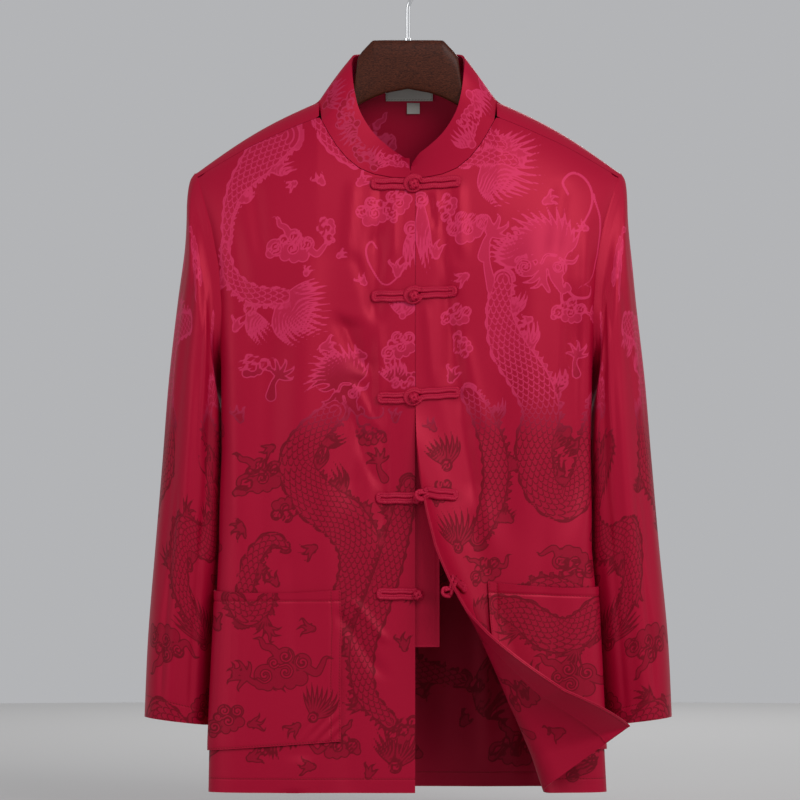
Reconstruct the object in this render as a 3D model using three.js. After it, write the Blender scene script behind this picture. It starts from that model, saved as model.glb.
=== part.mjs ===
// Tang shirt on a wood hanger, in millimetres.
// X runs to the right of the picture, -Y to the viewer, +Z up.
// The origin is the top of the hook's inner curve, where the hanger hangs.
import * as THREE from "three";

// Main sizes
const WALL = 1.5; // body and sleeve cloth
const SEAM = 0.35; // space left between two pieces that are sewn together
const HEM_Z = -919;
const UNDERARM_Z = -455;
const TIP_Z = -237; // shoulder point
const NECK_SIDE_X = 100; // where the collar meets the shoulder ridge
const NECK_SIDE_Z = -160;
const SHOULDER_RISE = 6; // how far the shoulder ridge bows up between its ends
const TIP_X = 232;
const FRONT_X = 8; // where the two fronts meet
const OUTER_FROM = 0.8; // part of a panel's width that lies in front
const SQUARE = 5.5; // how square the body's section is, 2 would be an oval
const RIDGE = 10; // half width of the cloth where it lies on the hanger
const RIDGE_ROUND = 6;
const HANG = 70; // how fast the cloth falls away from the hanger

// The body at a row of heights: half widths at the two fold edges, depth in
// front of and behind the hanger, and how much the sides draw in to the back.
const BODY = [
  { z: -919, left: 222, right: 221, front: 74, back: 68, draw: 18 },
  { z: -863, left: 221, right: 218, front: 74, back: 68, draw: 18 },
  { z: -800, left: 218, right: 215, front: 73, back: 67, draw: 19 },
  { z: -716, left: 214, right: 211, front: 72, back: 66, draw: 20 },
  { z: -653, left: 211, right: 205, front: 72, back: 65, draw: 20 },
  { z: -600, left: 210, right: 205, front: 71, back: 64, draw: 19 },
  { z: -543, left: 208, right: 204, front: 70, back: 64, draw: 18 },
  { z: -455, left: 209, right: 206, front: 69, back: 63, draw: 16 },
  { z: -380, left: 211, right: 210, front: 68, back: 62, draw: 11 },
  { z: -341, left: 214, right: 213, front: 68, back: 62, draw: 8 },
  { z: -297, left: 223, right: 221, front: 67, back: 61, draw: 4 },
  { z: -237, left: 240, right: 240, front: 66, back: 60, draw: 0 },
];

// The armhole runs at this part of the body's depth, down to the bend above
// the underarm.
const ARMHOLE = { part: 0.69, bendZ: -390 };

// Neck seam on the fronts and on the back, and the forward shoulder seam, by
// distance from the middle.
const NECK_FRONT = [
  { x: 0, z: -244.5 },
  { x: 20, z: -243.5 },
  { x: 38, z: -240 },
  { x: 54, z: -233 },
  { x: 68, z: -221.5 },
  { x: 79, z: -208 },
  { x: 88, z: -193.5 },
  { x: 97, z: -176.5 },
];
const NECK_BACK = [
  { x: 0, z: -148 },
  { x: 38, z: -147 },
  { x: 70, z: -146.5 },
  { x: 92, z: -152 },
  { x: 100, z: -160 },
];
// How far down the front the back's shoulder strip comes, along the height.
const STRIP = [
  { x: 97, s: 17 },
  { x: 150, s: 14 },
  { x: 200, s: 9 },
  { x: 232, s: 5 },
];

// Largest folds: a trough (minus) or ridge (plus) in the cloth. x at the top
// and at the bottom of the fold, its two heights, half width and depth.
const FOLDS_FRONT = [
  { x1: -36, z1: -300, x2: -35, z2: -400, wide: 9, deep: -4 },
  { x1: -67, z1: -400, x2: -49, z2: -455, wide: 13, deep: -5 },
  { x1: -49, z1: -455, x2: -62, z2: -600, wide: 15, deep: -5 },
  { x1: -22, z1: -480, x2: -26, z2: -640, wide: 12, deep: -4 },
  { x1: -150, z1: -420, x2: -158, z2: -680, wide: 18, deep: -4 },
  { x1: -110, z1: -330, x2: -118, z2: -560, wide: 20, deep: 4 },
  { x1: 43, z1: -350, x2: 47, z2: -470, wide: 9, deep: -5 },
  { x1: 51, z1: -470, x2: 76, z2: -600, wide: 12, deep: -5 },
  { x1: 184, z1: -380, x2: 182, z2: -620, wide: 13, deep: -8 },
  { x1: 140, z1: -300, x2: 132, z2: -620, wide: 22, deep: 4 },
  { x1: 160, z1: -690, x2: 168, z2: -919, wide: 18, deep: -3 },
];
const FOLDS_BACK = [
  { x1: -120, z1: -330, x2: -140, z2: -919, wide: 26, deep: 7 },
  { x1: -62, z1: -360, x2: -66, z2: -919, wide: 20, deep: -6 },
  { x1: 4, z1: -300, x2: 10, z2: -919, wide: 28, deep: 6 },
  { x1: 74, z1: -380, x2: 84, z2: -919, wide: 20, deep: -6 },
  { x1: 136, z1: -330, x2: 150, z2: -919, wide: 26, deep: 7 },
];

// The lower corner of the wearer's left front turns over a slanting line.
// The turn starts at x, z and goes down and to the side by lean degrees.
const TURN = { x: 11, z: -526.7, lean: 17.9, bend: 60 };
const TURN_ANGLE = [
  { t: -70, deg: 0 },
  { t: -20, deg: 28 },
  { t: 20, deg: 60 },
  { t: 60, deg: 70 },
  { t: 121, deg: 74 },
  { t: 162, deg: 83 },
  { t: 197, deg: 91 },
  { t: 231, deg: 104 },
  { t: 277, deg: 123 },
  { t: 310, deg: 137 },
  { t: 371, deg: 178 },
  { t: 420, deg: 184 },
];

// Sleeves, from the shoulder point to the cuff: the outer line, the inner
// line under the arm, and the ring's front and back ends.
const SLEEVE_RIGHT = [
  { f: 0.0, ox: -232, oz: -237, ix: -193, iz: -455, front: -47, back: 43 },
  { f: 0.03, ox: -237, oz: -247, ix: -199, iz: -464, front: -49, back: 48 },
  { f: 0.08, ox: -241.5, oz: -273, ix: -206, iz: -484, front: -52, back: 60 },
  { f: 0.16, ox: -246.5, oz: -325, ix: -209, iz: -514, front: -52, back: 74 },
  { f: 0.26, ox: -254.5, oz: -383, ix: -207, iz: -556, front: -51, back: 84 },
  { f: 0.4, ox: -264, oz: -466, ix: -206.5, iz: -614, front: -49, back: 84 },
  { f: 0.54, ox: -271, oz: -555, ix: -207.5, iz: -668, front: -46, back: 80 },
  { f: 0.7, ox: -279, oz: -651, ix: -210.5, iz: -729, front: -41, back: 75 },
  { f: 0.86, ox: -287, oz: -749, ix: -214.5, iz: -792, front: -36, back: 69 },
  { f: 1.0, ox: -291, oz: -838, ix: -218, iz: -847, front: -33, back: 64 },
];
const SLEEVE_LEFT = [
  { f: 0.0, ox: 232, oz: -237, ix: 190, iz: -455, front: -47, back: 43 },
  { f: 0.03, ox: 235.5, oz: -247, ix: 196, iz: -464, front: -49, back: 48 },
  { f: 0.08, ox: 239, oz: -273, ix: 203, iz: -484, front: -52, back: 60 },
  { f: 0.16, ox: 246, oz: -325, ix: 206, iz: -514, front: -52, back: 74 },
  { f: 0.26, ox: 252, oz: -383, ix: 203, iz: -556, front: -51, back: 84 },
  { f: 0.4, ox: 261.5, oz: -466, ix: 201.5, iz: -614, front: -49, back: 84 },
  { f: 0.54, ox: 269, oz: -555, ix: 202, iz: -668, front: -46, back: 80 },
  { f: 0.7, ox: 277.5, oz: -651, ix: 204.5, iz: -729, front: -41, back: 75 },
  { f: 0.86, ox: 287, oz: -749, ix: 210.5, iz: -792, front: -36, back: 69 },
  { f: 1.0, ox: 291.5, oz: -838, ix: 217, iz: -847, front: -33, back: 64 },
];
// Places of the rings along a sleeve, and how far the first one steps out.
const SLEEVE_STEPS = [
  0, 0.014, 0.035, 0.065, 0.1, 0.14, 0.185, 0.235, 0.29, 0.35, 0.41, 0.47, 0.53, 0.59, 0.65,
  0.71, 0.77, 0.83, 0.89, 0.95, 1,
];
const SLEEVE_STEP_OUT = 3.4;
// Long soft folds on the sleeves: place round the ring (0 outer line, 0.25
// front, 0.5 inner, 0.75 back), and how far along.
const FOLDS_SLEEVE = [
  { a: 0.14, f1: 0.05, f2: 0.75, wide: 0.035, deep: -4 },
  { a: 0.22, f1: 0.3, f2: 1.0, wide: 0.03, deep: 3 },
  { a: 0.32, f1: 0.12, f2: 0.6, wide: 0.03, deep: -4 },
  { a: 0.7, f1: 0.1, f2: 0.8, wide: 0.04, deep: -5 },
  { a: 0.85, f1: 0.2, f2: 1.0, wide: 0.04, deep: 4 },
];

// Stand collar from the front middle round one side to the back middle: the
// seam line (b) and the upper edge (t).
const COLLAR_WALL = 2.4;
const COLLAR_LIFT = 1.1; // room for the seam between the neck edge and the band
const COLLAR = [
  { bx: 4, by: -51, bz: -243, tx: 3, ty: -22, tz: -222.5 },
  { bx: 38, by: -50, bz: -238.5, tx: 20, ty: -25, tz: -211 },
  { bx: 67, by: -43.5, bz: -219.5, tx: 39, ty: -24, tz: -193 },
  { bx: 87, by: -31, bz: -191, tx: 53, ty: -18, tz: -170 },
  { bx: 95.5, by: -17, bz: -173, tx: 59, ty: -11, tz: -147 },
  { bx: 97.5, by: 0, bz: -156.5, tx: 61.5, ty: -2.5, tz: -124 },
  { bx: 90, by: 9.5, bz: -149.8, tx: 61, ty: 9, tz: -108.5 },
  { bx: 70, by: 24, bz: -145.4, tx: 49, ty: 20, tz: -105 },
  { bx: 38, by: 36, bz: -145.8, tx: 28, ty: 27, tz: -103 },
  { bx: 0, by: 40, bz: -146.8, tx: 0, ty: 30, tz: -102 },
];

// Frogs: the height of each knot half and loop half, where they start and
// how long they are. Rise is how much the far end is higher.
const CORD = 6.2; // each of the two cords of a strip
const BALL = 12.4;
const FROGS = [
  { knotZ: -251, knotLong: 38, loopZ: -249.5, loopLong: 41, rise: 2.5, shut: true },
  { knotZ: -374, knotLong: 38, loopZ: -369.5, loopLong: 39, rise: 1.5, shut: true },
  { knotZ: -485.5, knotLong: 31, loopZ: -480.5, loopLong: 40, rise: 3, shut: true },
  { knotZ: -595.5, knotLong: 40, loopZ: -592, loopLong: 40, rise: 0, shut: false },
  { knotZ: -700.5, knotLong: 38, loopZ: -697, loopLong: 40, rise: 0, shut: false },
];

// Patch pockets: distance of the inner edge from the front edge, width along
// the cloth, and the heights of the four corners.
const POCKET_OUT = 2.8; // its middle above the front's middle
const POCKETS = {
  right: { from: 82, wide: 152, top1: -696, top2: -697, low1: -862, low2: -873 },
  left: { from: 79, wide: 150, top1: -687, top2: -693, low1: -868, low2: -872 },
};

const UNDERLAP = { back: 16, out: 26.5, top: -252, low: -758.8, deep: 3.1 };
const FACING = {
  from: 0.5,
  wide: 32.5,
  top1: -500,
  top2: -500,
  low1: -917.6,
  low2: -917.6,
  deep: 1.6,
};

// Hanger
const WOOD_HALF = 6.5; // half thickness at the neck
const WOOD_END = 9; // and at the ends of the arms
const WOOD = [
  { x: 0, top: -90, low: -144 },
  { x: 26, top: -90, low: -149 },
  { x: 39, top: -90.3, low: -154 },
  { x: 51, top: -103, low: -160 },
  { x: 56.5, top: -111, low: -164 },
  { x: 58, top: -133, low: -165.5 },
  { x: 66, top: -143, low: -172 },
  { x: 80, top: -155, low: -182 },
  { x: 100, top: -169, low: -196 },
  { x: 140, top: -190, low: -218 },
  { x: 180, top: -213.5, low: -241 },
  { x: 212, top: -232.5, low: -259 },
  { x: 221, top: -239, low: -257 },
];
const HOOK_WIRE = 4.8;
const HOOK_BOW = 20; // radius of the wire's middle

// Small helpers
const clamp = (v, a, b) => Math.min(b, Math.max(a, v));
const mix = (a, b, t) => a + (b - a) * t;
const ease = (t) => {
  const c = clamp(t, 0, 1);
  return c * c * (3 - 2 * c);
};

// Reads a table with a key column, with straight steps between its rows.
function look(table, key, at, name) {
  const up = table[table.length - 1][key] > table[0][key];
  const rows = up ? table : [...table].reverse();
  if (at <= rows[0][key]) return rows[0][name];
  for (let i = 1; i < rows.length; i += 1) {
    if (at <= rows[i][key]) {
      const a = rows[i - 1];
      const b = rows[i];
      return mix(a[name], b[name], (at - a[key]) / (b[key] - a[key]));
    }
  }
  return rows[rows.length - 1][name];
}

// The same with a smooth curve through the rows.
function glide(table, key, at, name) {
  const n = table.length;
  let i = 0;
  while (i < n - 2 && at > table[i + 1][key]) i += 1;
  const t = clamp((at - table[i][key]) / (table[i + 1][key] - table[i][key]), 0, 1);
  const p1 = table[i][name];
  const p2 = table[i + 1][name];
  const p0 = i > 0 ? table[i - 1][name] : 2 * p1 - p2;
  const p3 = i < n - 2 ? table[i + 2][name] : 2 * p2 - p1;
  return (
    0.5 *
    (2 * p1 +
      (p2 - p0) * t +
      (2 * p0 - 5 * p1 + 4 * p2 - p3) * t * t +
      (3 * p1 - p0 - 3 * p2 + p3) * t * t * t)
  );
}

// Height of the shoulder ridge at a distance from the middle. Behind the neck
// it is a height that nothing reaches, which makes the back stand off there.
function ridge(ax, face) {
  if (ax >= NECK_SIDE_X) {
    const t = (ax - NECK_SIDE_X) / (TIP_X - NECK_SIDE_X);
    const rise = SHOULDER_RISE * Math.sin(Math.PI * Math.min(t, 1));
    return mix(NECK_SIDE_Z, TIP_Z, t) + rise;
  }
  if (face < 0) return NECK_SIDE_Z;
  const part = ax / NECK_SIDE_X;
  return NECK_SIDE_Z + 73 * (1 - part * part);
}

// Distance of the cloth from the hanger's plane, s below the ridge.
function fall(s, full) {
  const d = Math.max(s, 0);
  const open = RIDGE + (full - RIDGE) * (1 - Math.exp(-d / HANG));
  return open * Math.sqrt(1 - Math.exp(-d / RIDGE_ROUND));
}

// What the folds add to the distance at x, z.
function folds(table, x, z) {
  let sum = 0;
  for (const f of table) {
    const t = (z - f.z1) / (f.z2 - f.z1);
    const fade = ease((t + 0.12) / 0.3) * ease((1.12 - t) / 0.3);
    if (fade <= 0) continue;
    const d = (x - mix(f.x1, f.x2, t)) / f.wide;
    sum += f.deep * fade * Math.exp(-d * d);
  }
  return sum;
}

// Depth y of the body's cloth at x, z; face is -1 in front and 1 behind.
function depthAt(x, z, face) {
  const side = x < 0 ? "left" : "right";
  const zz = Math.min(z, TIP_Z);
  const wide = look(BODY, "z", zz, side);
  const full = look(BODY, "z", zz, face < 0 ? "front" : "back");
  const ax = Math.abs(x);
  const round = Math.pow(Math.max(0, 1 - Math.pow(ax / wide, SQUARE)), 1 / SQUARE);
  const s = ridge(ax, face) - z;
  const table = face < 0 ? FOLDS_FRONT : FOLDS_BACK;
  const soft = folds(table, x, z) * ease((wide - ax) / 14);
  return face * (fall(s, full) * round + soft);
}

// The sides draw in towards the back.
function drawIn(x, y, z) {
  const amount = look(BODY, "z", z, "draw") * ease((y + 52) / 60);
  return x - Math.sign(x) * amount * ease((Math.abs(x) - 120) / 70);
}

// One row of the body at height z from the middle to the armhole or the side
// seam, as points with the length walked so far.
const rowStore = new Map();
function row(side, face, z) {
  const key = side + "/" + face + "/" + z.toFixed(4);
  if (rowStore.has(key)) return rowStore.get(key);
  const wide = look(BODY, "z", z, side < 0 ? "left" : "right");
  const bend = clamp((ARMHOLE.bendZ - z) / (ARMHOLE.bendZ - UNDERARM_Z), 0, 1);
  const part = z <= UNDERARM_Z ? 0 : ARMHOLE.part * Math.sqrt(1 - bend * bend);
  const first = face < 0 ? side * FRONT_X : 0;
  const points = [];
  const flat = 40;
  const corner = 40;
  const knee = 0.8 * wide;
  const kneePart = Math.pow(1 - Math.pow(0.8, SQUARE), 1 / SQUARE);
  for (let i = 0; i < flat; i += 1) points.push(mix(first, knee, i / flat));
  for (let i = 0; i <= corner; i += 1) {
    const p = mix(kneePart, part, Math.sin((i / corner) * Math.PI * 0.5));
    points.push(wide * Math.pow(1 - Math.pow(p, SQUARE), 1 / SQUARE));
  }
  let walked = 0;
  let last = null;
  const out = points.map((ax) => {
    const x = ax * side;
    const y = depthAt(x, z, face);
    const p = { x: drawIn(x, y, z), y, flat: ax, walked: 0 };
    if (last) walked += Math.hypot(p.x - last.x, p.y - last.y);
    p.walked = walked;
    last = p;
    return p;
  });
  rowStore.set(key, out);
  return out;
}

// Length from the middle to where the body turns to its side, at any height.
function sideLength(side, face, z) {
  const r = row(side, face, z);
  const wide = look(BODY, "z", z, side < 0 ? "left" : "right");
  const turn = wide * Math.pow(1 - Math.pow(ARMHOLE.part, SQUARE), 1 / SQUARE);
  const at = r.find((p) => p.flat >= turn - 1e-6);
  return (at || r[r.length - 1]).walked;
}

// Length of a panel's column u at height z. The outer columns alone take up
// the difference between the side seam and the armhole.
function columnLength(side, face, u, z) {
  const zz = Math.min(z, TIP_Z);
  const r = row(side, face, zz);
  const start = face < 0 ? SEAM / 2 : 0;
  const end = r[r.length - 1].walked - 0.2;
  const inner = start + OUTER_FROM * (sideLength(side, face, zz) - start);
  if (u <= OUTER_FROM) return mix(start, inner, u / OUTER_FROM);
  return mix(inner, end, (u - OUTER_FROM) / (1 - OUTER_FROM));
}

function columnAt(side, length, z) {
  const zz = Math.min(z, TIP_Z);
  const inner = columnLength(side, -1, OUTER_FROM, zz);
  const end = columnLength(side, -1, 1, zz);
  if (length <= inner) {
    return (OUTER_FROM * (length - SEAM / 2)) / (inner - SEAM / 2);
  }
  return OUTER_FROM + ((1 - OUTER_FROM) * (length - inner)) / (end - inner);
}

// The point of a row at a length from the middle.
function onRow(side, face, z, length) {
  const r = row(side, face, z);
  if (length <= 0) {
    return { x: r[0].x + length * side, y: r[0].y };
  }
  let lo = 0;
  let hi = r.length - 1;
  while (hi - lo > 1) {
    const mid = (lo + hi) >> 1;
    if (r[mid].walked > length) hi = mid;
    else lo = mid;
  }
  const a = r[lo];
  const b = r[hi];
  const t = (length - a.walked) / (b.walked - a.walked);
  return { x: mix(a.x, b.x, t), y: mix(a.y, b.y, t) };
}

// Turns the lower corner of the left front over.
function turned(p) {
  const lean = THREE.MathUtils.degToRad(TURN.lean);
  const down = { x: Math.sin(lean), z: -Math.cos(lean) };
  const across = { x: Math.cos(lean), z: Math.sin(lean) };
  const t = (p.x - TURN.x) * down.x + (p.z - TURN.z) * down.z;
  const r = (p.x - TURN.x) * across.x + (p.z - TURN.z) * across.z;
  const a = TURN.bend / 2 - r;
  const angle = THREE.MathUtils.degToRad(look(TURN_ANGLE, "t", t, "deg"));
  if (a <= 0 || angle < 1e-4) return p;
  const radius = TURN.bend / angle;
  const reach = (angle * Math.min(a, TURN.bend)) / TURN.bend;
  const rest = Math.max(0, a - TURN.bend);
  const kept = radius * Math.sin(reach) + rest * Math.cos(angle);
  const out = radius * (1 - Math.cos(reach)) + rest * Math.sin(angle);
  const r2 = TURN.bend / 2 - kept;
  return new THREE.Vector3(
    TURN.x + t * down.x + r2 * across.x,
    p.y - out,
    TURN.z + t * down.z + r2 * across.z,
  );
}

// A point of a front's middle layer, length mm from its front edge.
function frontPoint(side, length, z) {
  const q = onRow(side, -1, Math.min(z, TIP_Z), length);
  const y = z > TIP_Z ? depthAt(q.x, z, -1) : q.y;
  const p = new THREE.Vector3(q.x, y, z);
  return side > 0 ? turned(p) : p;
}

// Mesh from a list of points and triangles, faces turned outwards.
function solid(name, points, faces, material) {
  let volume = 0;
  const v = new THREE.Vector3();
  for (const [a, b, c] of faces) {
    volume += points[a].dot(v.copy(points[b]).cross(points[c]));
  }
  const data = [];
  for (const [a, b, c] of faces) {
    const order = volume < 0 ? [a, c, b] : [a, b, c];
    for (const k of order) data.push(points[k].x, points[k].y, points[k].z);
  }
  const geometry = new THREE.BufferGeometry();
  geometry.setAttribute("position", new THREE.Float32BufferAttribute(data, 3));
  geometry.computeVertexNormals();
  const mesh = new THREE.Mesh(geometry, material);
  mesh.name = name;
  return mesh;
}

// Normals of a grid of points, by its neighbours.
function gridNormals(grid, closed) {
  const rows = grid.length;
  const cols = grid[0].length;
  return grid.map((line, i) =>
    line.map((_, j) => {
      const up = grid[Math.min(i + 1, rows - 1)][j];
      const down = grid[Math.max(i - 1, 0)][j];
      const right = closed ? line[(j + 1) % cols] : line[Math.min(j + 1, cols - 1)];
      const left = closed ? line[(j + cols - 1) % cols] : line[Math.max(j - 1, 0)];
      const a = right.clone().sub(left);
      return a.cross(up.clone().sub(down)).normalize();
    }),
  );
}

// A cloth wall from a grid of its middle points.
function wall(name, grid, thick, closed, material) {
  const rows = grid.length;
  const cols = grid[0].length;
  const normals = gridNormals(grid, closed);
  const points = [];
  const index = [[], []];
  for (const [k, sign] of [1, -1].entries()) {
    for (let i = 0; i < rows; i += 1) {
      index[k].push([]);
      for (let j = 0; j < cols; j += 1) {
        index[k][i].push(points.length);
        points.push(grid[i][j].clone().addScaledVector(normals[i][j], (sign * thick) / 2));
      }
    }
  }
  const faces = [];
  const quad = (a, b, c, d) => faces.push([a, b, c], [a, c, d]);
  const [o, n] = index;
  const wide = closed ? cols : cols - 1;
  for (let i = 0; i < rows - 1; i += 1) {
    for (let j = 0; j < wide; j += 1) {
      const k = (j + 1) % cols;
      quad(o[i][j], o[i][k], o[i + 1][k], o[i + 1][j]);
      faces.push([n[i][j], n[i + 1][k], n[i][k]], [n[i][j], n[i + 1][j], n[i + 1][k]]);
    }
    if (!closed) {
      quad(o[i][0], o[i + 1][0], n[i + 1][0], n[i][0]);
      quad(o[i + 1][cols - 1], o[i][cols - 1], n[i][cols - 1], n[i + 1][cols - 1]);
    }
  }
  for (let j = 0; j < wide; j += 1) {
    const k = (j + 1) % cols;
    quad(o[0][k], o[0][j], n[0][j], n[0][k]);
    quad(o[rows - 1][j], o[rows - 1][k], n[rows - 1][k], n[rows - 1][j]);
  }
  return solid(name, points, faces, material);
}

// Rows and columns of the panels
const LOW_ROWS = [
  -918.6, -890, -860, -830, -800, -770, -739, -708, -676, -643, -610, -577, -545, -514, -484,
];
const HIGH_FRONT = [14.76, 14.6, 14.2, 13.5, 12.6, 11.5, 10.1, 8.4, 6.8, 5.0, 3.4, 2.24];
const HIGH_BACK = [
  14.76, 14.6, 14.2, 13.5, 12.6, 11.5, 10.1, 8.4, 6.8, 5.0, 3.4, 1.7, 0, -2.24,
];
const SIGMA = Math.sqrt(TIP_Z - UNDERARM_Z);

// Heights of a front's column whose place on the shoulder row is ax.
function frontTop(ax) {
  if (ax <= 97) return look(NECK_FRONT, "x", ax, "z");
  return ridge(ax, -1) - look(STRIP, "x", ax, "s");
}

function frontColumn(side, u) {
  const at = onRow(side, -1, TIP_Z, columnLength(side, -1, u, TIP_Z));
  const ax = Math.abs(at.x);
  const top = frontTop(ax) - SEAM;
  const peak = ridge(ax, -1);
  const low = Math.sqrt(peak - UNDERARM_Z);
  const high = Math.sqrt(Math.max(peak - top, 0.2));
  const heights = HIGH_FRONT.map((s) => {
    const g = (s - HIGH_FRONT.at(-1)) / (SIGMA - HIGH_FRONT.at(-1));
    const sigma = mix(high, low, g);
    return peak - sigma * sigma;
  });
  return [...LOW_ROWS, ...heights];
}

function frontGrid(side, columns) {
  const heights = columns.map((u) => frontColumn(side, u));
  return heights[0].map((_, i) =>
    columns.map((u, j) => {
      const z = heights[j][i];
      return frontPoint(side, columnLength(side, -1, u, z), z);
    }),
  );
}

// The back's columns run from the wearer's right side to the left side.
function backTopSigma(ax) {
  if (ax >= 97.9) return -Math.sqrt(look(STRIP, "x", ax, "s"));
  if (ax >= 97) return -1.4;
  return Math.sqrt(Math.max(ridge(ax, 1) - look(NECK_BACK, "x", ax, "z"), 0.3));
}

function backPoint(side, u, step) {
  const at = onRow(side, 1, TIP_Z, columnLength(side, 1, u, TIP_Z));
  const ax = Math.abs(at.x);
  if (step < LOW_ROWS.length) {
    const z = LOW_ROWS[step];
    const q = onRow(side, 1, z, columnLength(side, 1, u, z));
    return new THREE.Vector3(q.x, q.y, z);
  }
  const peak = ridge(ax, 1);
  const low = Math.sqrt(peak - UNDERARM_Z);
  const high = backTopSigma(ax);
  const g = (HIGH_BACK[step - LOW_ROWS.length] + 2.24) / (SIGMA + 2.24);
  const sigma = mix(high, low, g);
  const z = peak - sigma * sigma;
  if (z > TIP_Z || sigma < 0) {
    return new THREE.Vector3(at.x, depthAt(at.x, z, sigma < 0 ? -1 : 1), z);
  }
  const q = onRow(side, 1, z, columnLength(side, 1, u, z));
  return new THREE.Vector3(q.x, q.y, z);
}

const BACK_HALF = [
  0, 0.09, 0.18, 0.27, 0.33, 0.37, 0.3965, 0.4021, 0.4059, 0.45, 0.55, 0.64, 0.72, 0.8, 0.87, 0.94,
  1,
];
const FRONT_RIGHT_COLUMNS = [
  0, 0.04, 0.08, 0.12, 0.16, 0.2, 0.24, 0.29, 0.335, 0.377, 0.4148, 0.48, 0.545, 0.61, 0.67, 0.735,
  0.8, 0.85, 0.9, 0.95, 1,
];
const FRONT_LEFT_COLUMNS = [
  0, 0.035, 0.07, 0.105, 0.14, 0.175, 0.21, 0.245, 0.28, 0.313, 0.345, 0.3752, 0.42, 0.465, 0.51,
  0.56, 0.61, 0.66, 0.71, 0.76, 0.8, 0.85, 0.9, 0.95, 1,
];

function backGrid() {
  const columns = [
    ...[...BACK_HALF].reverse().map((u) => [-1, u]),
    ...BACK_HALF.slice(1).map((u) => [1, u]),
  ];
  const steps = LOW_ROWS.length + HIGH_BACK.length;
  const grid = [];
  for (let i = 0; i < steps; i += 1) grid.push(columns.map(([s, u]) => backPoint(s, u, i)));
  return grid;
}

// Points along a closed half ring, evenly by length.
function evenly(points, count) {
  const walked = [0];
  for (let i = 1; i < points.length; i += 1) {
    walked.push(walked[i - 1] + points[i].distanceTo(points[i - 1]));
  }
  const out = [];
  for (let k = 0; k <= count; k += 1) {
    const goal = (walked.at(-1) * k) / count;
    let i = 1;
    while (i < points.length - 1 && walked[i] < goal) i += 1;
    const t = (goal - walked[i - 1]) / (walked[i] - walked[i - 1] || 1);
    out.push(points[i - 1].clone().lerp(points[i], clamp(t, 0, 1)));
  }
  return out;
}

// The closed edge of an armhole, from the underarm up the front, over the
// shoulder and down the back, moved into the opening by a small seam.
function armhole(side, frontPanel, backPanel) {
  const first = LOW_ROWS.length;
  const backNormals = gridNormals(backPanel, false);
  const take = (line) => (side < 0 ? line[0] : line.at(-1));
  const ring = frontPanel.grid.slice(first).map((line, i) => ({
    p: line.at(-1),
    n: frontPanel.normals[first + i].at(-1).clone().multiplyScalar(side),
  }));
  const behind = backPanel
    .slice(first)
    .map((line, i) => ({ p: take(line), n: take(backNormals[first + i]).clone().negate() }));
  ring.push(...behind.slice(1, -1).reverse());
  ring[0] = { p: ring[0].p.clone().lerp(behind[0].p, 0.5), n: new THREE.Vector3(side, 0, 0) };
  const middle = new THREE.Vector3();
  for (const r of ring) middle.addScaledVector(r.p, 1 / ring.length);
  const count = ring.length;
  return ring.map((r, j) => {
    const next = ring[(j + 1) % count].p;
    const prev = ring[(j + count - 1) % count].p;
    const into = next.clone().sub(prev).cross(r.n).normalize();
    if (into.dot(middle.clone().sub(r.p)) < 0) into.negate();
    const p = r.p.clone().addScaledVector(into, SEAM + WALL / 2 + 0.45);
    p.x += side * 0.9 * ease((p.z + 280) / 30);
    return p;
  });
}

// A sleeve: its first ring follows the armhole's own points, and its next
// rings step out from the body before they go down.
function sleeveGrid(side, table, frontPanel, backPanel) {
  const edge = armhole(side, frontPanel, backPanel);
  const count = edge.length;
  const topIndex = HIGH_FRONT.length + 1;
  const rings = [edge];
  const start = new THREE.Vector3(table[0].ox + table[0].ix, 0, table[0].oz + table[0].iz);
  for (const f of SLEEVE_STEPS) {
    const get = (name) => glide(table, "f", f, name);
    const outer = new THREE.Vector3(get("ox"), 0, get("oz"));
    const inner = new THREE.Vector3(get("ix"), 0, get("iz"));
    const mid = (get("front") + get("back")) / 2;
    const reach = (get("back") - get("front")) / 2;
    const halves = [-1, 1].map((dir) => {
      const arc = [];
      for (let i = 0; i <= 40; i += 1) {
        const a = (i / 40) * Math.PI;
        const c = Math.cos(a);
        const along = 0.5 - 0.5 * Math.sign(c) * Math.pow(Math.abs(c), 0.8);
        const p = inner.clone().lerp(outer, along);
        p.y = mid + dir * reach * Math.pow(Math.sin(a), 0.8);
        arc.push(p);
      }
      return arc;
    });
    const up = evenly(halves[0], topIndex);
    const down = evenly([...halves[1]].reverse(), count - topIndex);
    const oval = [...up, ...down.slice(1, -1)];
    const centre = outer.clone().lerp(inner, 0.5);
    centre.y = mid;
    const shift = outer.clone().add(inner).sub(start).multiplyScalar(0.5);
    shift.x += side * SLEEVE_STEP_OUT;
    const blend = ease((f - 0.012) / 0.15);
    rings.push(
      oval.map((p, j) => {
        // Turn round the ring: 0 at the outer line, 0.25 front, 0.5 inner.
        const turn =
          j <= topIndex
            ? 0.5 - (0.5 * j) / topIndex
            : 1 - (0.5 * (j - topIndex)) / (count - topIndex);
        const q = p.clone();
        const dir = p.clone().sub(centre).normalize();
        for (const fold of FOLDS_SLEEVE) {
          const t = (f - fold.f1) / (fold.f2 - fold.f1);
          const fade = ease((t + 0.1) / 0.25) * ease((1.1 - t) / 0.25);
          const d = (turn - fold.a) / fold.wide;
          q.addScaledVector(dir, fold.deep * fade * Math.exp(-d * d));
        }
        return edge[j].clone().add(shift).lerp(q, blend);
      }),
    );
  }
  return rings;
}

// The neck edge of the body on one side, from the front middle to the back one.
function neckEdge(side, frontPanel, backPanel) {
  const front = frontPanel.grid.at(-1).filter((p, j) => j === 0 || Math.abs(p.x) < 97.2);
  const top = backPanel.at(-1);
  const half = (top.length - 1) / 2;
  const behind = side < 0 ? top.slice(0, half + 1) : top.slice(half).reverse();
  return [...front, ...behind.filter((p) => p.y > -14 && Math.abs(p.x) < 99.4)];
}

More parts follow.
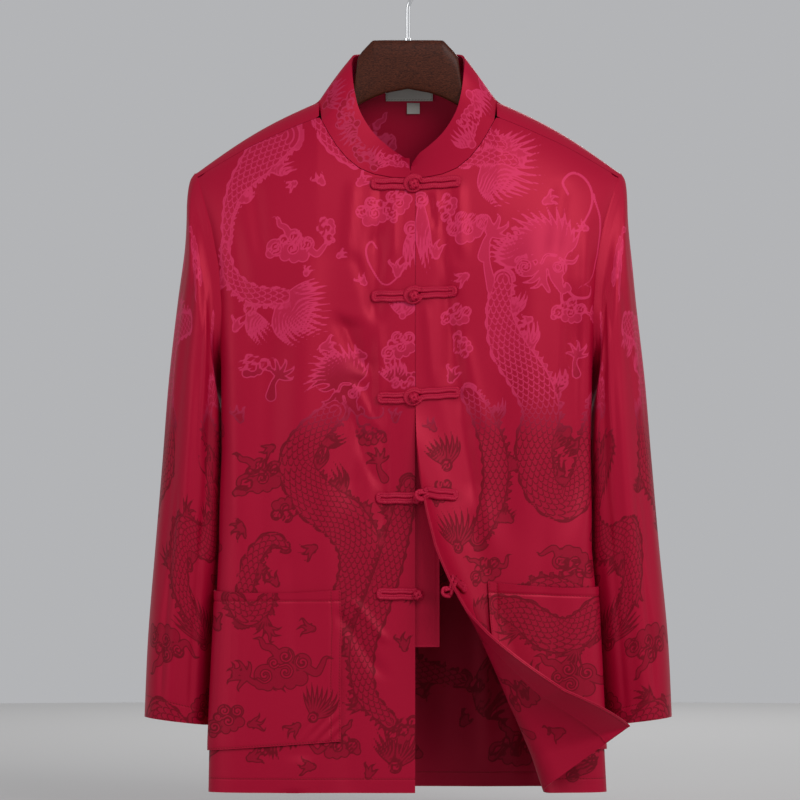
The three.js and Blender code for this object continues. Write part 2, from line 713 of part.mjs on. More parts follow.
function lengths(points) {
  const out = [0];
  for (let i = 1; i < points.length; i += 1) {
    out.push(out[i - 1] + points[i].distanceTo(points[i - 1]));
  }
  return out.map((d) => d / out.at(-1));
}

// The collar stands on the neck edge, point by point, and leans to its own
// upper edge. Its two ends meet in front.
function collarGrid() {
  const tableWalk = lengths(COLLAR.map((r) => new THREE.Vector3(r.bx, r.by, r.bz)));
  const table = COLLAR.map((r, k) => ({ ...r, w: tableWalk[k] }));
  const half = (side, panel) => {
    const edge = neckEdge(side, panel, back);
    const walk = lengths(edge);
    return edge.map((p, i) => {
      const get = (name) => glide(table, "w", walk[i], name);
      const t = new THREE.Vector3(get("tx") * side, get("ty"), get("tz"));
      return { b: p, t, w: walk[i], side };
    });
  };
  const ring = [...half(-1, rightFront), ...half(1, leftFront).slice(0, -1).reverse()];
  const ends = { "-1": 1.7, 1: 3.3 };
  return [0, 0.4, 0.75, 1].map((h) =>
    ring.map((s) => {
      const up = s.t.clone().sub(s.b);
      const base = s.b.clone().addScaledVector(up.clone().normalize(), COLLAR_LIFT);
      // The end towards the picture's right is rounded off above.
      const near = s.side > 0 ? Math.max(0, 1 - s.w / 0.1) : 0;
      const cut = ease((h - 0.5) / 0.5) * near * near * 0.3;
      const p = base.lerp(s.t, h - cut);
      if (s.w === 0) p.x = ends[s.side] + cut * 5;
      // The band bulges a little outwards.
      const away = new THREE.Vector3(p.x, p.y * 1.4, 0).normalize();
      return p.addScaledVector(away, Math.sin(h * Math.PI) * 1.5);
    }),
  );
}

// A panel with the places of its columns, so that pieces that lie on it can be
// made from its own points.
function panelOf(side, columns) {
  const heights = columns.map((u) => frontColumn(side, u));
  const grid = frontGrid(side, columns);
  return { side, columns, heights, grid, normals: gridNormals(grid, false) };
}

// Place of a length and height in the panel's grid: column and row, with parts.
function placeOn(panel, length, z) {
  const u = clamp(columnAt(panel.side, length, z), 0, 1);
  let j = 0;
  while (j < panel.columns.length - 2 && u > panel.columns[j + 1]) j += 1;
  const s = (u - panel.columns[j]) / (panel.columns[j + 1] - panel.columns[j]);
  return rowOn(panel, j, s, z);
}

function rowOn(panel, j, s, z) {
  const at = (i) => mix(panel.heights[j][i], panel.heights[j + 1][i], s);
  let i = 0;
  while (i < panel.heights[0].length - 2 && z > at(i + 1)) i += 1;
  return { i, j, s, t: clamp((z - at(i)) / (at(i + 1) - at(i)), 0, 1) };
}

// The panel's point at a place, moved off along its normal (minus is inside).
function offPanel(panel, place, off) {
  const { i, j, s, t } = place;
  const out = panel.side;
  const corner = (a, b) =>
    panel.grid[a][b].clone().addScaledVector(panel.normals[a][b], off * out);
  const p0 = corner(i, j);
  const p2 = corner(i + 1, j + 1);
  if (s >= t) {
    const p1 = corner(i, j + 1);
    return p0
      .multiplyScalar(1 - s)
      .addScaledVector(p1, s - t)
      .addScaledVector(p2, t);
  }
  const p3 = corner(i + 1, j);
  return p0
    .multiplyScalar(1 - t)
    .addScaledVector(p3, t - s)
    .addScaledVector(p2, s);
}

// Lengths at which the panel's own columns cross a height, between two ends.
function columnsBetween(panel, from, to, z, room) {
  const inner = panel.columns
    .map((u) => columnLength(panel.side, -1, u, z))
    .filter((d) => d > from + room && d < to - room);
  return [from, ...inner, to];
}

// A cloth patch that lies on a panel between two lengths and two heights; the
// heights may differ at its two sides. It shares the panel's own lines.
function patchGrid(panel, spec, off) {
  const middle = (spec.top1 + spec.low1) / 2;
  const marks = columnsBetween(panel, spec.from, spec.from + spec.wide, middle, 3);
  const parts = marks.map((d) => columnAt(panel.side, d, middle));
  const rows = panel.heights[0].filter(
    (z) => z > Math.max(spec.low1, spec.low2) + 4 && z < Math.min(spec.top1, spec.top2) - 4,
  );
  const levels = [null, ...rows, undefined];
  return levels.map((z, k) =>
    parts.map((u, m) => {
      const w = m / (parts.length - 1);
      let zz = z;
      if (k === 0) zz = mix(spec.low1, spec.low2, w);
      if (k === levels.length - 1) zz = mix(spec.top1, spec.top2, w);
      let length = columnLength(panel.side, -1, u, zz);
      if (m === 0) length = spec.from;
      if (m === parts.length - 1) length = spec.from + spec.wide;
      return offPanel(panel, placeOn(panel, length, zz), off);
    }),
  );
}

// A bar that follows a front: stations by length, and a section of heights
// and distances off the cloth.
function bar(name, panel, from, long, z0, rise, lift, material) {
  let marks = columnsBetween(panel, from, from + long, z0, 3.5);
  if (lift > 0) marks = marks.flatMap((d, m) => (m ? [(d + marks[m - 1]) / 2, d] : [d]));
  marks.splice(1, 0, from + 1.6);
  marks.splice(marks.length - 1, 0, from + long - 1.6);
  const points = [];
  const faces = [];
  const count = TWO_CORDS.length;
  marks.forEach((at, m) => {
    const end = m === 0 || m === marks.length - 1;
    const z1 = z0 + rise * ((at - from) / long - 0.5);
    for (const [dz, off] of TWO_CORDS) {
      const place = placeOn(panel, at, z1 + dz * (end ? 0.88 : 1));
      const high = BAR_BASE + (off - BAR_BASE) * (end ? 0.6 : 1);
      points.push(offPanel(panel, place, high + lift));
    }
  });
  for (let i = 0; i < marks.length - 1; i += 1) {
    for (let j = 0; j < count; j += 1) {
      const k = (j + 1) % count;
      const a = i * count;
      const b = a + count;
      faces.push([a + j, a + k, b + k], [a + j, b + k, b + j]);
    }
  }
  for (let j = 1; j < count - 1; j += 1) {
    faces.push([0, j + 1, j]);
    const e = (marks.length - 1) * count;
    faces.push([e, e + j, e + j + 1]);
  }
  return solid(name, points, faces, material);
}

const BAR_BASE = WALL / 2 + 0.6;
// Two cords side by side, flat underneath: heights and distances off the cloth.
const TWO_CORDS = [
  [-CORD, BAR_BASE],
  [-0.8 * CORD, BAR_BASE + 3.6],
  [-0.5 * CORD, BAR_BASE + 4.6],
  [0, BAR_BASE + 2.9],
  [0.5 * CORD, BAR_BASE + 4.6],
  [0.8 * CORD, BAR_BASE + 3.6],
  [CORD, BAR_BASE],
];

function ballAt(name, centre, radius, material) {
  const g = new THREE.SphereGeometry(radius, 10, 7);
  g.translate(centre.x, centre.y, centre.z);
  const mesh = new THREE.Mesh(g, material);
  mesh.name = name;
  return mesh;
}

// A wire along a line of points.
function wire(name, points, radius, sides, material) {
  const curve = new THREE.CatmullRomCurve3(points, false, "centripetal");
  const count = Math.round(points.length * 1.7);
  const frames = curve.computeFrenetFrames(count, false);
  const all = [];
  for (let i = 0; i <= count; i += 1) {
    const c = curve.getPointAt(i / count);
    for (let j = 0; j < sides; j += 1) {
      const a = (j / sides) * 2 * Math.PI;
      all.push(
        c
          .clone()
          .addScaledVector(frames.normals[i], radius * Math.cos(a))
          .addScaledVector(frames.binormals[i], radius * Math.sin(a)),
      );
    }
  }
  const faces = [];
  for (let i = 0; i < count; i += 1) {
    for (let j = 0; j < sides; j += 1) {
      const k = (j + 1) % sides;
      const a = i * sides;
      const b = a + sides;
      faces.push([a + j, a + k, b + k], [a + j, b + k, b + j]);
    }
  }
  const start = all.length;
  all.push(points[0].clone(), points.at(-1).clone());
  for (let j = 0; j < sides; j += 1) {
    const k = (j + 1) % sides;
    faces.push([start, k, j]);
    faces.push([start + 1, count * sides + j, count * sides + k]);
  }
  return solid(name, all, faces, material);
}

// Materials
const paint = (color, roughness, metalness = 0) =>
  new THREE.MeshStandardMaterial({ color, roughness, metalness, side: THREE.DoubleSide });
const satin = () => paint(0xb3121f, 0.42, 0.05);
const cordPaint = () => paint(0x9c0f1c, 0.5);

const shirt = new THREE.Group();
shirt.name = "tang_shirt";

// Body
const rightFront = panelOf(-1, FRONT_RIGHT_COLUMNS);
const leftFront = panelOf(1, FRONT_LEFT_COLUMNS);
const back = backGrid();
shirt.add(wall("back", back, WALL, false, satin()));
shirt.add(wall("front_right", rightFront.grid, WALL, false, satin()));
shirt.add(wall("front_left", leftFront.grid, WALL, false, satin()));

// Sleeves
const rightSleeve = sleeveGrid(-1, SLEEVE_RIGHT, rightFront, back);
const leftSleeve = sleeveGrid(1, SLEEVE_LEFT, leftFront, back);
shirt.add(wall("sleeve_right", rightSleeve, WALL, true, satin()));
shirt.add(wall("sleeve_left", leftSleeve, WALL, true, satin()));

// Collar
shirt.add(wall("collar", collarGrid(), COLLAR_WALL, false, satin()));

// Underlap and facing lie under the fronts' edges.
const underlapGrid = [];
for (let i = 0; i <= 18; i += 1) {
  const z = mix(UNDERLAP.top, UNDERLAP.low, i / 18);
  underlapGrid.push(
    [-UNDERLAP.back, 0, UNDERLAP.out].map((d) => {
      const x = FRONT_X + d;
      return new THREE.Vector3(x, depthAt(x, z, -1) + UNDERLAP.deep, z);
    }),
  );
}
shirt.add(wall("underlap", underlapGrid, 1.2, false, satin()));
const facingGrid = patchGrid(leftFront, FACING, -FACING.deep);
shirt.add(wall("front_left_facing", facingGrid, 1.0, false, satin()));

// Pockets
const rightPocket = patchGrid(rightFront, POCKETS.right, POCKET_OUT);
const leftPocket = patchGrid(leftFront, POCKETS.left, POCKET_OUT);
shirt.add(wall("pocket_right", rightPocket, 1.4, false, satin()));
shirt.add(wall("pocket_left", leftPocket, 1.4, false, satin()));

// Frogs
FROGS.forEach((frog, index) => {
  const n = index + 1;
  const knotFrom = frog.shut ? 8.2 : 1.5;
  const loopFrom = frog.shut ? 6.2 : 3;
  const knot = "frog_knot_" + n;
  const loop = "frog_loop_" + n;
  const lift = frog.shut ? 0 : 0.5;
  const red = cordPaint();
  shirt.add(bar(knot, rightFront, knotFrom, frog.knotLong, frog.knotZ, 0, 0, red));
  shirt.add(bar(loop, leftFront, loopFrom, frog.loopLong, frog.loopZ, frog.rise, lift, red));
  const ballX = frog.shut ? 6.4 : 11.4;
  const ballY = depthAt(FRONT_X, frog.knotZ, -1) - BALL / 2 - 1.4;
  const centre = new THREE.Vector3(ballX, ballY, frog.knotZ - (frog.shut ? 0 : 1));
  shirt.add(ballAt("frog_ball_" + n, centre, BALL / 2, cordPaint()));
});

// Labels, blank
const labelGrid = [];
for (let i = 0; i <= 2; i += 1) {
  const z = mix(-126, -156, i / 2);
  labelGrid.push(
    [-24.5, 1.5, 27.5].map((x) => new THREE.Vector3(x, mix(32.4, 38.2, i / 2) - x * x * 0.0032, z)),
  );
}
shirt.add(wall("label_neck", labelGrid, 0.9, false, paint(0xd8d2c4, 0.8)));
const tabGrid = [-158, -170].map((z) =>
  [-1, 13].map((x) => new THREE.Vector3(x, 39.1 - (z + 158) * 0.08, z)),
);
shirt.add(wall("label_size", tabGrid, 0.9, false, paint(0xf2f0ea, 0.8)));

// Hanger body: sections across the arm, from one end to the other.
const woodPoints = [];
const woodFaces = [];
const woodSides = 12;
const woodRows = [
  ...[...WOOD].reverse().map((r) => ({ ...r, x: -r.x })),
  ...WOOD.slice(1),
];
for (const r of woodRows) {
  const half = mix(WOOD_HALF, WOOD_END, ease((Math.abs(r.x) - 90) / 120));
  const midZ = (r.top + r.low) / 2;
  const high = (r.top - r.low) / 2;
  const small = Math.abs(r.x) > 215 ? 0.6 : 1;
  for (let j = 0; j < woodSides; j += 1) {
    const a = ((j + 0.5) / woodSides) * 2 * Math.PI;
    const c = Math.sign(Math.cos(a)) * Math.pow(Math.abs(Math.cos(a)), 0.7);
    const s = Math.sign(Math.sin(a)) * Math.pow(Math.abs(Math.sin(a)), 0.7);
    const norm = Math.pow(Math.abs(Math.sin(Math.PI / 2 - Math.PI / woodSides)), 0.7);
    woodPoints.push(new THREE.Vector3(r.x, (half * small * c) / norm, midZ + (high * s) / norm));
  }
}
for (let i = 0; i < woodRows.length - 1; i += 1) {
  for (let j = 0; j < woodSides; j += 1) {
    const k = (j + 1) % woodSides;
    const a = i * woodSides;
    const b = a + woodSides;
    woodFaces.push([a + j, b + k, a + k], [a + j, b + j, b + k]);
  }
}
for (let j = 1; j < woodSides - 1; j += 1) {
  woodFaces.push([0, j, j + 1]);
  const e = (woodRows.length - 1) * woodSides;
  woodFaces.push([e, e + j + 1, e + j]);
}
shirt.add(solid("hanger_wood", woodPoints, woodFaces, paint(0x3a2016, 0.45)));

// Hook: a straight stem, then an open bow over the origin.
const bowZ = HOOK_WIRE / 2 - HOOK_BOW;
const hookLine = [
  [0, -89.6],
  [0, -76],
  [0, -62],
  [0.6, -52],
  [5, -43],
].map(([x, z]) => new THREE.Vector3(x, 0, z));
for (const deg of [-38, -12, 14, 40, 65, 90, 115, 140, 165, 190, 212]) {
  const a = THREE.MathUtils.degToRad(deg);
  hookLine.push(
    new THREE.Vector3(HOOK_BOW * Math.cos(a), 0, bowZ + HOOK_BOW * Math.sin(a)),
  );
}
shirt.add(wire("hanger_hook", hookLine, HOOK_WIRE / 2, 7, paint(0xc9ccd0, 0.2, 1)));

export default shirt;
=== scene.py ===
# %% [markdown]
# # A tang shirt on its wood hanger
# This lesson builds the looks of a long-sleeved satin shirt with a stand collar, knotted frogs and
# patch pockets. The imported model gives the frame, and each piece here is a finer skin on one of its
# solids. All lengths in the tables are millimetres, and meshes are turned into metres when made.

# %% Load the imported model
import math

import bpy
import numpy as np
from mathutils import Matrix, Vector


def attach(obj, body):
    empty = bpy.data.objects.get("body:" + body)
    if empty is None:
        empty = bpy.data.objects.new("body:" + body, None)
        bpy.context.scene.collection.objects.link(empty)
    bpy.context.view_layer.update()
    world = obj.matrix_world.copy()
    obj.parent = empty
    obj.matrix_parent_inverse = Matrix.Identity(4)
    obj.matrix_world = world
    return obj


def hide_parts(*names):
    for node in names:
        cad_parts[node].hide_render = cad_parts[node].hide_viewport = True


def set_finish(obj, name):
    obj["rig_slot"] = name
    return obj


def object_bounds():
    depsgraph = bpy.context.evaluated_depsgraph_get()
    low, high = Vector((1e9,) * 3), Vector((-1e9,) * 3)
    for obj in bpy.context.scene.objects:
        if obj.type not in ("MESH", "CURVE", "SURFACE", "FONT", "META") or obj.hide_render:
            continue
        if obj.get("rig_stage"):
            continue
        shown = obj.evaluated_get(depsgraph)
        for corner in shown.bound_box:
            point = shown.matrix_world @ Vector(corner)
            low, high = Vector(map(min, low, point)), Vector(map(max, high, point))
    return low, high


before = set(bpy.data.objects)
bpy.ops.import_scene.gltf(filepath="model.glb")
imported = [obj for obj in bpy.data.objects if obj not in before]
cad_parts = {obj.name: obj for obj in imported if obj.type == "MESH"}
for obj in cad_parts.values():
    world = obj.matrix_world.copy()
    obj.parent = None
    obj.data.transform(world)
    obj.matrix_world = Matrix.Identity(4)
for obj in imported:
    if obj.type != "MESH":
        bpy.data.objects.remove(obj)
bpy.context.view_layer.update()

# %% [markdown]
# The camera comes first, because everything is seen through it. The photograph looks straight at the
# shirt from far away, so a very long lens a little below half height gives the same view.

# %% Camera
CAMERA_PLACE = (-0.0088, -8.0, -0.488)
LENS = 325.6

camera_data = bpy.data.cameras.new("camera")
camera = bpy.data.objects.new("camera", camera_data)
bpy.context.scene.collection.objects.link(camera)
camera.location = CAMERA_PLACE
camera.rotation_euler = (math.radians(90), 0, 0)
camera_data.lens = LENS
camera_data.sensor_width = 36
camera_data.clip_end = 50
bpy.context.scene.camera = camera
print("camera", CAMERA_PLACE, "lens", LENS)

# %% [markdown]
# The shirt's shape comes from a few tables: the body's half widths and depths at a row of heights,
# the neck line, the folds. They are the pattern cutter's numbers of this shirt, and the same ones
# as the solids have, so each skin lies on its solid with no fitting.

# %% Main sizes and tables
WALL = 1.5  # cloth of the body and the sleeves
SEAM = 0.35  # gap between two pieces that are sewn together
HEM_Z = -918.6
UNDERARM_Z = -455
TIP_X = 232  # outer end of the shoulder's ridge
TIP_Z = -237
NECK_SIDE_X = 100
NECK_SIDE_Z = -160
NECK_RISE = 73  # how far the back's ridge line rises behind the neck
SHOULDER_RISE = 6  # how far the shoulder's ridge bows up between its ends
FRONT_X = 8  # where the front opening is
STRIP_FROM = 97  # where the strip over the shoulder starts, beside the neck
OUTER_FROM = 0.8  # share of a panel's columns that come before its turn to the side
SQUARE = 5.5  # how square the body's section is
RIDGE = 10  # distance from the hanger's plane at the ridge, and its rounding
RIDGE_ROUND = 6
HANG = 70  # how soon the cloth opens out below the ridge
ARM_PART = 0.69  # how far the armhole goes round the side, and where it starts to bend in
ARM_BEND_Z = -390

# height, right half width, left half width, front depth, back depth, draw in
BODY = np.array([
    (-919, 222, 221, 74, 68, 18),
    (-863, 221, 218, 74, 68, 18),
    (-800, 218, 215, 73, 67, 19),
    (-716, 214, 211, 72, 66, 20),
    (-653, 211, 205, 72, 65, 20),
    (-600, 210, 205, 71, 64, 19),
    (-543, 208, 204, 70, 64, 18),
    (-455, 209, 206, 69, 63, 16),
    (-380, 211, 210, 68, 62, 11),
    (-341, 214, 213, 68, 62, 8),
    (-297, 223, 221, 67, 61, 4),
    (-237, 240, 240, 66, 60, 0),
], float)
# distance from the middle, height
NECK_FRONT = np.array([
    (0, -244.5), (20, -243.5), (38, -240), (54, -233), (68, -221.5), (79, -208), (88, -193.5),
    (97, -176.5),
], float)
NECK_BACK = np.array([(0, -148), (38, -147), (70, -146.5), (92, -152), (100, -160)], float)
# distance from the middle, how far the back comes down over the shoulder
STRIP = np.array([(97, 17), (150, 14), (200, 9), (232, 5)], float)
# x and height at the top, x and height at the bottom, half width, depth
FOLDS_FRONT = [
    (-36, -300, -35, -400, 9, -4),
    (-67, -400, -49, -455, 13, -5),
    (-49, -455, -62, -600, 15, -5),
    (-22, -480, -26, -640, 12, -4),
    (-150, -420, -158, -680, 18, -4),
    (-110, -330, -118, -560, 20, 4),
    (43, -350, 47, -470, 9, -5),
    (51, -470, 76, -600, 12, -5),
    (184, -380, 182, -620, 13, -8),
    (140, -300, 132, -620, 22, 4),
    (160, -690, 168, -919, 18, -3),
]
FOLDS_BACK = [
    (-120, -330, -140, -919, 26, 7),
    (-62, -360, -66, -919, 20, -6),
    (4, -300, 10, -919, 28, 6),
    (74, -380, 84, -919, 20, -6),
    (136, -330, 150, -919, 26, 7),
]
print("body table", BODY.shape)

# %% [markdown]
# Small helpers come next. A smooth step is used wherever one shape hands over to another, and a
# smooth curve through a table's rows replaces straight steps where a bend would show.

# %% Small helpers
def mix(a, b, t):
    return a + (b - a) * t


def ease(t):
    c = np.clip(t, 0, 1)
    return c * c * (3 - 2 * c)


def spline(p0, p1, p2, p3, t):
    """A smooth step from p1 to p2 that knows the points before and after them."""
    return 0.5 * (
        2 * p1
        + (p2 - p0) * t
        + (2 * p0 - 5 * p1 + 4 * p2 - p3) * t**2
        + (3 * p1 - p0 - 3 * p2 + p3) * t**3
    )


def glide(keys, values, at):
    """Smooth curve through the rows of a table."""
    keys = np.asarray(keys, float)
    values = np.asarray(values, float)
    at = np.asarray(at, float)
    n = len(keys)
    i = np.clip(np.searchsorted(keys, at, side="left") - 1, 0, n - 2)
    t = np.clip((at - keys[i]) / (keys[i + 1] - keys[i]), 0, 1)
    p1 = values[i]
    p2 = values[i + 1]
    p0 = np.where(i > 0, values[np.maximum(i - 1, 0)], 2 * p1 - p2)
    p3 = np.where(i < n - 2, values[np.minimum(i + 2, n - 1)], 2 * p2 - p1)
    return spline(p0, p1, p2, p3, t)


def unit(v):
    return v / np.maximum(np.linalg.norm(v, axis=-1, keepdims=True), 1e-12)


def grid_normals(grid, closed=False):
    """Normals of a grid of points, by its neighbours."""
    if closed:
        across = np.roll(grid, -1, 1) - np.roll(grid, 1, 1)
    else:
        across = np.gradient(grid, axis=1)
    return unit(np.cross(across, np.gradient(grid, axis=0)))


def walked_along(points):
    """Length walked along a line of points, from nought."""
    step = np.linalg.norm(np.diff(points, axis=0), axis=1)
    return np.concatenate([[0], np.cumsum(step)])


print("a smooth step at a quarter:", ease(0.25))

# %% [markdown]
# Folds are soft troughs and ridges along lines. A fold fades in and out along its line and has the
# profile of a bell across it, as cloth has that hangs from a pinched place.

# %% Cloth hanging from the hanger
def half_width(side, z):
    return np.interp(z, BODY[:, 0], BODY[:, 1 if side < 0 else 2])


def ridge(ax, face):
    """Height of the shoulder ridge at a distance from the middle."""
    t = (ax - NECK_SIDE_X) / (TIP_X - NECK_SIDE_X)
    slope = mix(NECK_SIDE_Z, TIP_Z, t) + SHOULDER_RISE * np.sin(np.pi * np.clip(t, 0, 1))
    near = NECK_SIDE_Z if face < 0 else NECK_SIDE_Z + NECK_RISE * (1 - (ax / NECK_SIDE_X) ** 2)
    return np.where(ax >= NECK_SIDE_X, slope, near)


def fall(s, full):
    """Distance of the cloth from the hanger's plane, s below the ridge."""
    d = np.maximum(s, 0)
    opened = RIDGE + (full - RIDGE) * (1 - np.exp(-d / HANG))
    return opened * np.sqrt(1 - np.exp(-d / RIDGE_ROUND))


def folds(table, x, z):
    total = np.zeros(np.broadcast(x, z).shape)
    for x1, z1, x2, z2, wide, deep in table:
        t = (z - z1) / (z2 - z1)
        fade = ease((t + 0.12) / 0.3) * ease((1.12 - t) / 0.3)
        d = (x - mix(x1, x2, t)) / wide
        total = total + deep * fade * np.exp(-d * d)
    return total


# Small creases that only the finer skin has, in the same form.
CREASES_FRONT = [
    (-14, -268, -16, -330, 4, 1.2),
    (-24, -272, -30, -350, 5, -1.4),
    (-58, -330, -38, -395, 6, -1.6),
    (-31, -410, -30, -520, 5, 1.5),
    (-42, -415, -38, -540, 6, -1.6),
    (-19, -505, -17, -640, 5, 1.4),
    (-90, -560, -84, -800, 12, 1.6),
    (-190, -300, -176, -430, 9, -2.2),
    (-196, -420, -186, -640, 8, 2.0),
    (-128, -650, -120, -780, 10, -1.2),
    (22, -262, 30, -300, 4, -1.4),
    (30, -258, 38, -330, 4, 1.3),
    (20, -385, 28, -470, 5, 1.4),
    (62, -420, 84, -520, 6, 1.5),
    (100, -470, 112, -640, 12, -1.6),
    (196, -300, 190, -520, 7, 2.6),
    (172, -330, 166, -600, 7, 1.6),
    (150, -560, 146, -700, 10, -1.4),
    (-67, -497, -35, -580, 6, -2.6),
    (-76, -395, -44, -460, 7, -2.4),
    (-60, -470, -34, -520, 5, 2.2),
    (-74, -722, -29, -790, 8, -2.6),
    (-60, -708, -26, -752, 6, 2.4),
    (48, -400, 62, -500, 6, -2.6),
    (36, -280, 40, -350, 5, -2.2),
    (56, -250, 60, -330, 6, 2.0),
    (-30, -250, -36, -320, 5, -2.0),
    (-60, -250, -66, -330, 7, 1.8),
    (72, -520, 92, -650, 8, 2.2),
    (120, -860, 128, -919, 12, -2.4),
    (-60, -800, -66, -919, 14, -2.2),
    (-120, -880, -126, -919, 12, 2.2),
    (-170, -250, -160, -330, 10, -2.2),
    (170, -250, 160, -330, 10, -2.2),
]
CREASES_BACK = [
    (-170, -300, -150, -480, 14, -2.4),
    (170, -300, 150, -480, 14, -2.4),
    (-40, -240, -30, -420, 12, 1.8),
    (48, -240, 40, -430, 12, 1.8),
    (-96, -500, -100, -919, 12, -2),
    (112, -520, 118, -919, 12, -2),
    (-180, -560, -186, -919, 12, 2),
    (182, -560, 186, -919, 12, 2),
]

# places beside a column whose ridge heights are averaged, to soften the bend below the neck
SOFTEN = np.linspace(-26, 26, 9)


def depth_at(x, z, face, fine=True):
    """Depth y of the body's cloth at x, z; face is -1 in front and 1 behind."""
    x = np.asarray(x, float)
    low_z = np.minimum(z, TIP_Z)
    side_wide = np.where(x < 0, half_width(-1, low_z), half_width(1, low_z))
    full = np.interp(low_z, BODY[:, 0], BODY[:, 3 if face < 0 else 4])
    ax = np.abs(x)
    rounding = np.maximum(0, 1 - (ax / side_wide) ** SQUARE) ** (1 / SQUARE)
    s = ridge(ax, face) - z
    if face > 0:
        soft_ridge = np.mean([ridge(np.abs(ax + d), face) for d in SOFTEN], axis=0)
        s = s + (soft_ridge - ridge(ax, face)) * ease((s - 8) / 50)
    soft = folds(FOLDS_FRONT if face < 0 else FOLDS_BACK, x, z)
    if fine:
        soft = soft + folds(CREASES_FRONT if face < 0 else CREASES_BACK, x, z)
    soft = soft * ease((side_wide - ax) / 14)
    return face * (fall(s, full) * rounding + soft)


def draw_in(x, y, z):
    """The sides draw in towards the back."""
    amount = np.interp(z, BODY[:, 0], BODY[:, 5]) * ease((y + 52) / 60)
    return x - np.sign(x) * amount * ease((np.abs(x) - 120) / 70)


print("chest depth in front", -round(float(depth_at(60, -400, -1)), 1), "mm")

# %% [markdown]
# A panel of cloth is measured along itself, not along x. So each height gets a row of points from
# the middle to the side seam with the length walked so far, and a panel's column is a share of it.

# %% Rows of the body
STATIONS = 40  # points of the flat part, and as many round the corner
KNEE = 0.8  # where the flat part ends
KNEE_PART = (1 - KNEE**SQUARE) ** (1 / SQUARE)


def rows_at(side, face, z, fine=True):
    """Points and walked lengths of the body's rows at heights z, from the middle outwards."""
    z = np.atleast_1d(np.asarray(z, float))[:, None]
    wide = half_width(side, z)
    bend = np.clip((ARM_BEND_Z - z) / (ARM_BEND_Z - UNDERARM_Z), 0, 1)
    part = np.where(z <= UNDERARM_Z, 0, ARM_PART * np.sqrt(1 - bend**2))
    first = side * FRONT_X if face < 0 else 0
    flat = mix(first, KNEE * wide, np.arange(STATIONS)[None] / STATIONS)
    sweep = np.sin(np.arange(STATIONS + 1) / STATIONS * math.pi / 2)[None]
    corner = wide * (1 - mix(KNEE_PART, part, sweep) ** SQUARE) ** (1 / SQUARE)
    ax = np.concatenate([flat, corner], 1)
    x = ax * side
    y = depth_at(x, z, face, fine)
    x = draw_in(x, y, z)
    step = np.hypot(np.diff(x, axis=1), np.diff(y, axis=1))
    walked = np.concatenate([np.zeros((len(z), 1)), np.cumsum(step, 1)], 1)
    turn = wide * (1 - ARM_PART**SQUARE) ** (1 / SQUARE)
    return x, y, walked, ax, turn


def read_row(values, keys, at):
    """Reads each row of values at its own key."""
    i = np.clip((keys <= at[:, None]).sum(1) - 1, 0, keys.shape[1] - 2)
    n = np.arange(len(at))
    k0 = keys[n, i]
    t = (at - k0) / np.maximum(keys[n, i + 1] - k0, 1e-9)
    t = np.clip(t, 0, 1)
    return mix(values[n, i], values[n, i + 1], t)


def column_length(side, face, u, z, rows=None):
    """Length from the middle of a panel's column u at height z."""
    z = np.minimum(np.atleast_1d(np.asarray(z, float)), TIP_Z)
    u = np.broadcast_to(np.asarray(u, float), z.shape)
    x, y, walked, ax, turn = rows if rows is not None else rows_at(side, face, z)
    start = SEAM / 2 if face < 0 else 0
    end = walked[:, -1] - 0.2
    turn_length = read_row(walked, ax, turn[:, 0] - 1e-6)
    inner = start + OUTER_FROM * (turn_length - start)
    low = mix(start, inner, u / OUTER_FROM)
    high = mix(inner, end, (u - OUTER_FROM) / (1 - OUTER_FROM))
    return np.where(u <= OUTER_FROM, low, high)


def on_row(side, face, z, length, rows=None, fine=True):
    """The point of a row at a length from the middle."""
    if rows is None:
        rows = rows_at(side, face, z, fine)
    x, y, walked, _, _ = rows
    length = np.asarray(length, float)
    px = read_row(x, walked, length)
    py = read_row(y, walked, length)
    before = length <= 0
    px = np.where(before, x[:, 0] + length * side, px)
    py = np.where(before, y[:, 0], py)
    return px, py


print("half way round at the hem:", round(float(rows_at(1, -1, HEM_Z)[2][0, -1])), "mm of cloth")

# %% [markdown]
# The lower corner of the wearer's left front is turned back over a slanting line, like the page of
# a book. The turn is a roll of constant bend length whose angle grows towards the hem.

# %% The turned corner
TURN_X = 11  # a point of the line that the corner turns on, and the line's lean
TURN_Z = -526.7
TURN_LEAN = math.radians(17.9)
TURN_BEND = 60  # width of the strip of cloth that bends
# place down that line, angle in degrees
TURN_ANGLE = np.array([
    (-70, 0), (-20, 28), (20, 60), (60, 70), (121, 74), (162, 83), (197, 91), (231, 104),
    (277, 123), (310, 137), (371, 178), (420, 184),
], float)


def turned(p):
    """Points of the left front, carried round with its corner."""
    down = (math.sin(TURN_LEAN), -math.cos(TURN_LEAN))
    across = (math.cos(TURN_LEAN), math.sin(TURN_LEAN))
    dx = p[..., 0] - TURN_X
    dz = p[..., 2] - TURN_Z
    t = dx * down[0] + dz * down[1]
    r = dx * across[0] + dz * across[1]
    a = TURN_BEND / 2 - r
    angle = np.radians(np.interp(t, TURN_ANGLE[:, 0], TURN_ANGLE[:, 1]))
    moving = (a > 0) & (angle >= 1e-4)
    safe = np.where(moving, angle, 1)
    radius = TURN_BEND / safe
    reach = safe * np.minimum(a, TURN_BEND) / TURN_BEND
    rest = np.maximum(0, a - TURN_BEND)
    kept = radius * np.sin(reach) + rest * np.cos(safe)
    out = radius * (1 - np.cos(reach)) + rest * np.sin(safe)
    r2 = TURN_BEND / 2 - kept
    q = np.stack([
        TURN_X + t * down[0] + r2 * across[0],
        p[..., 1] - out,
        TURN_Z + t * down[1] + r2 * across[1],
    ], -1)
    return np.where(moving[..., None], q, p)


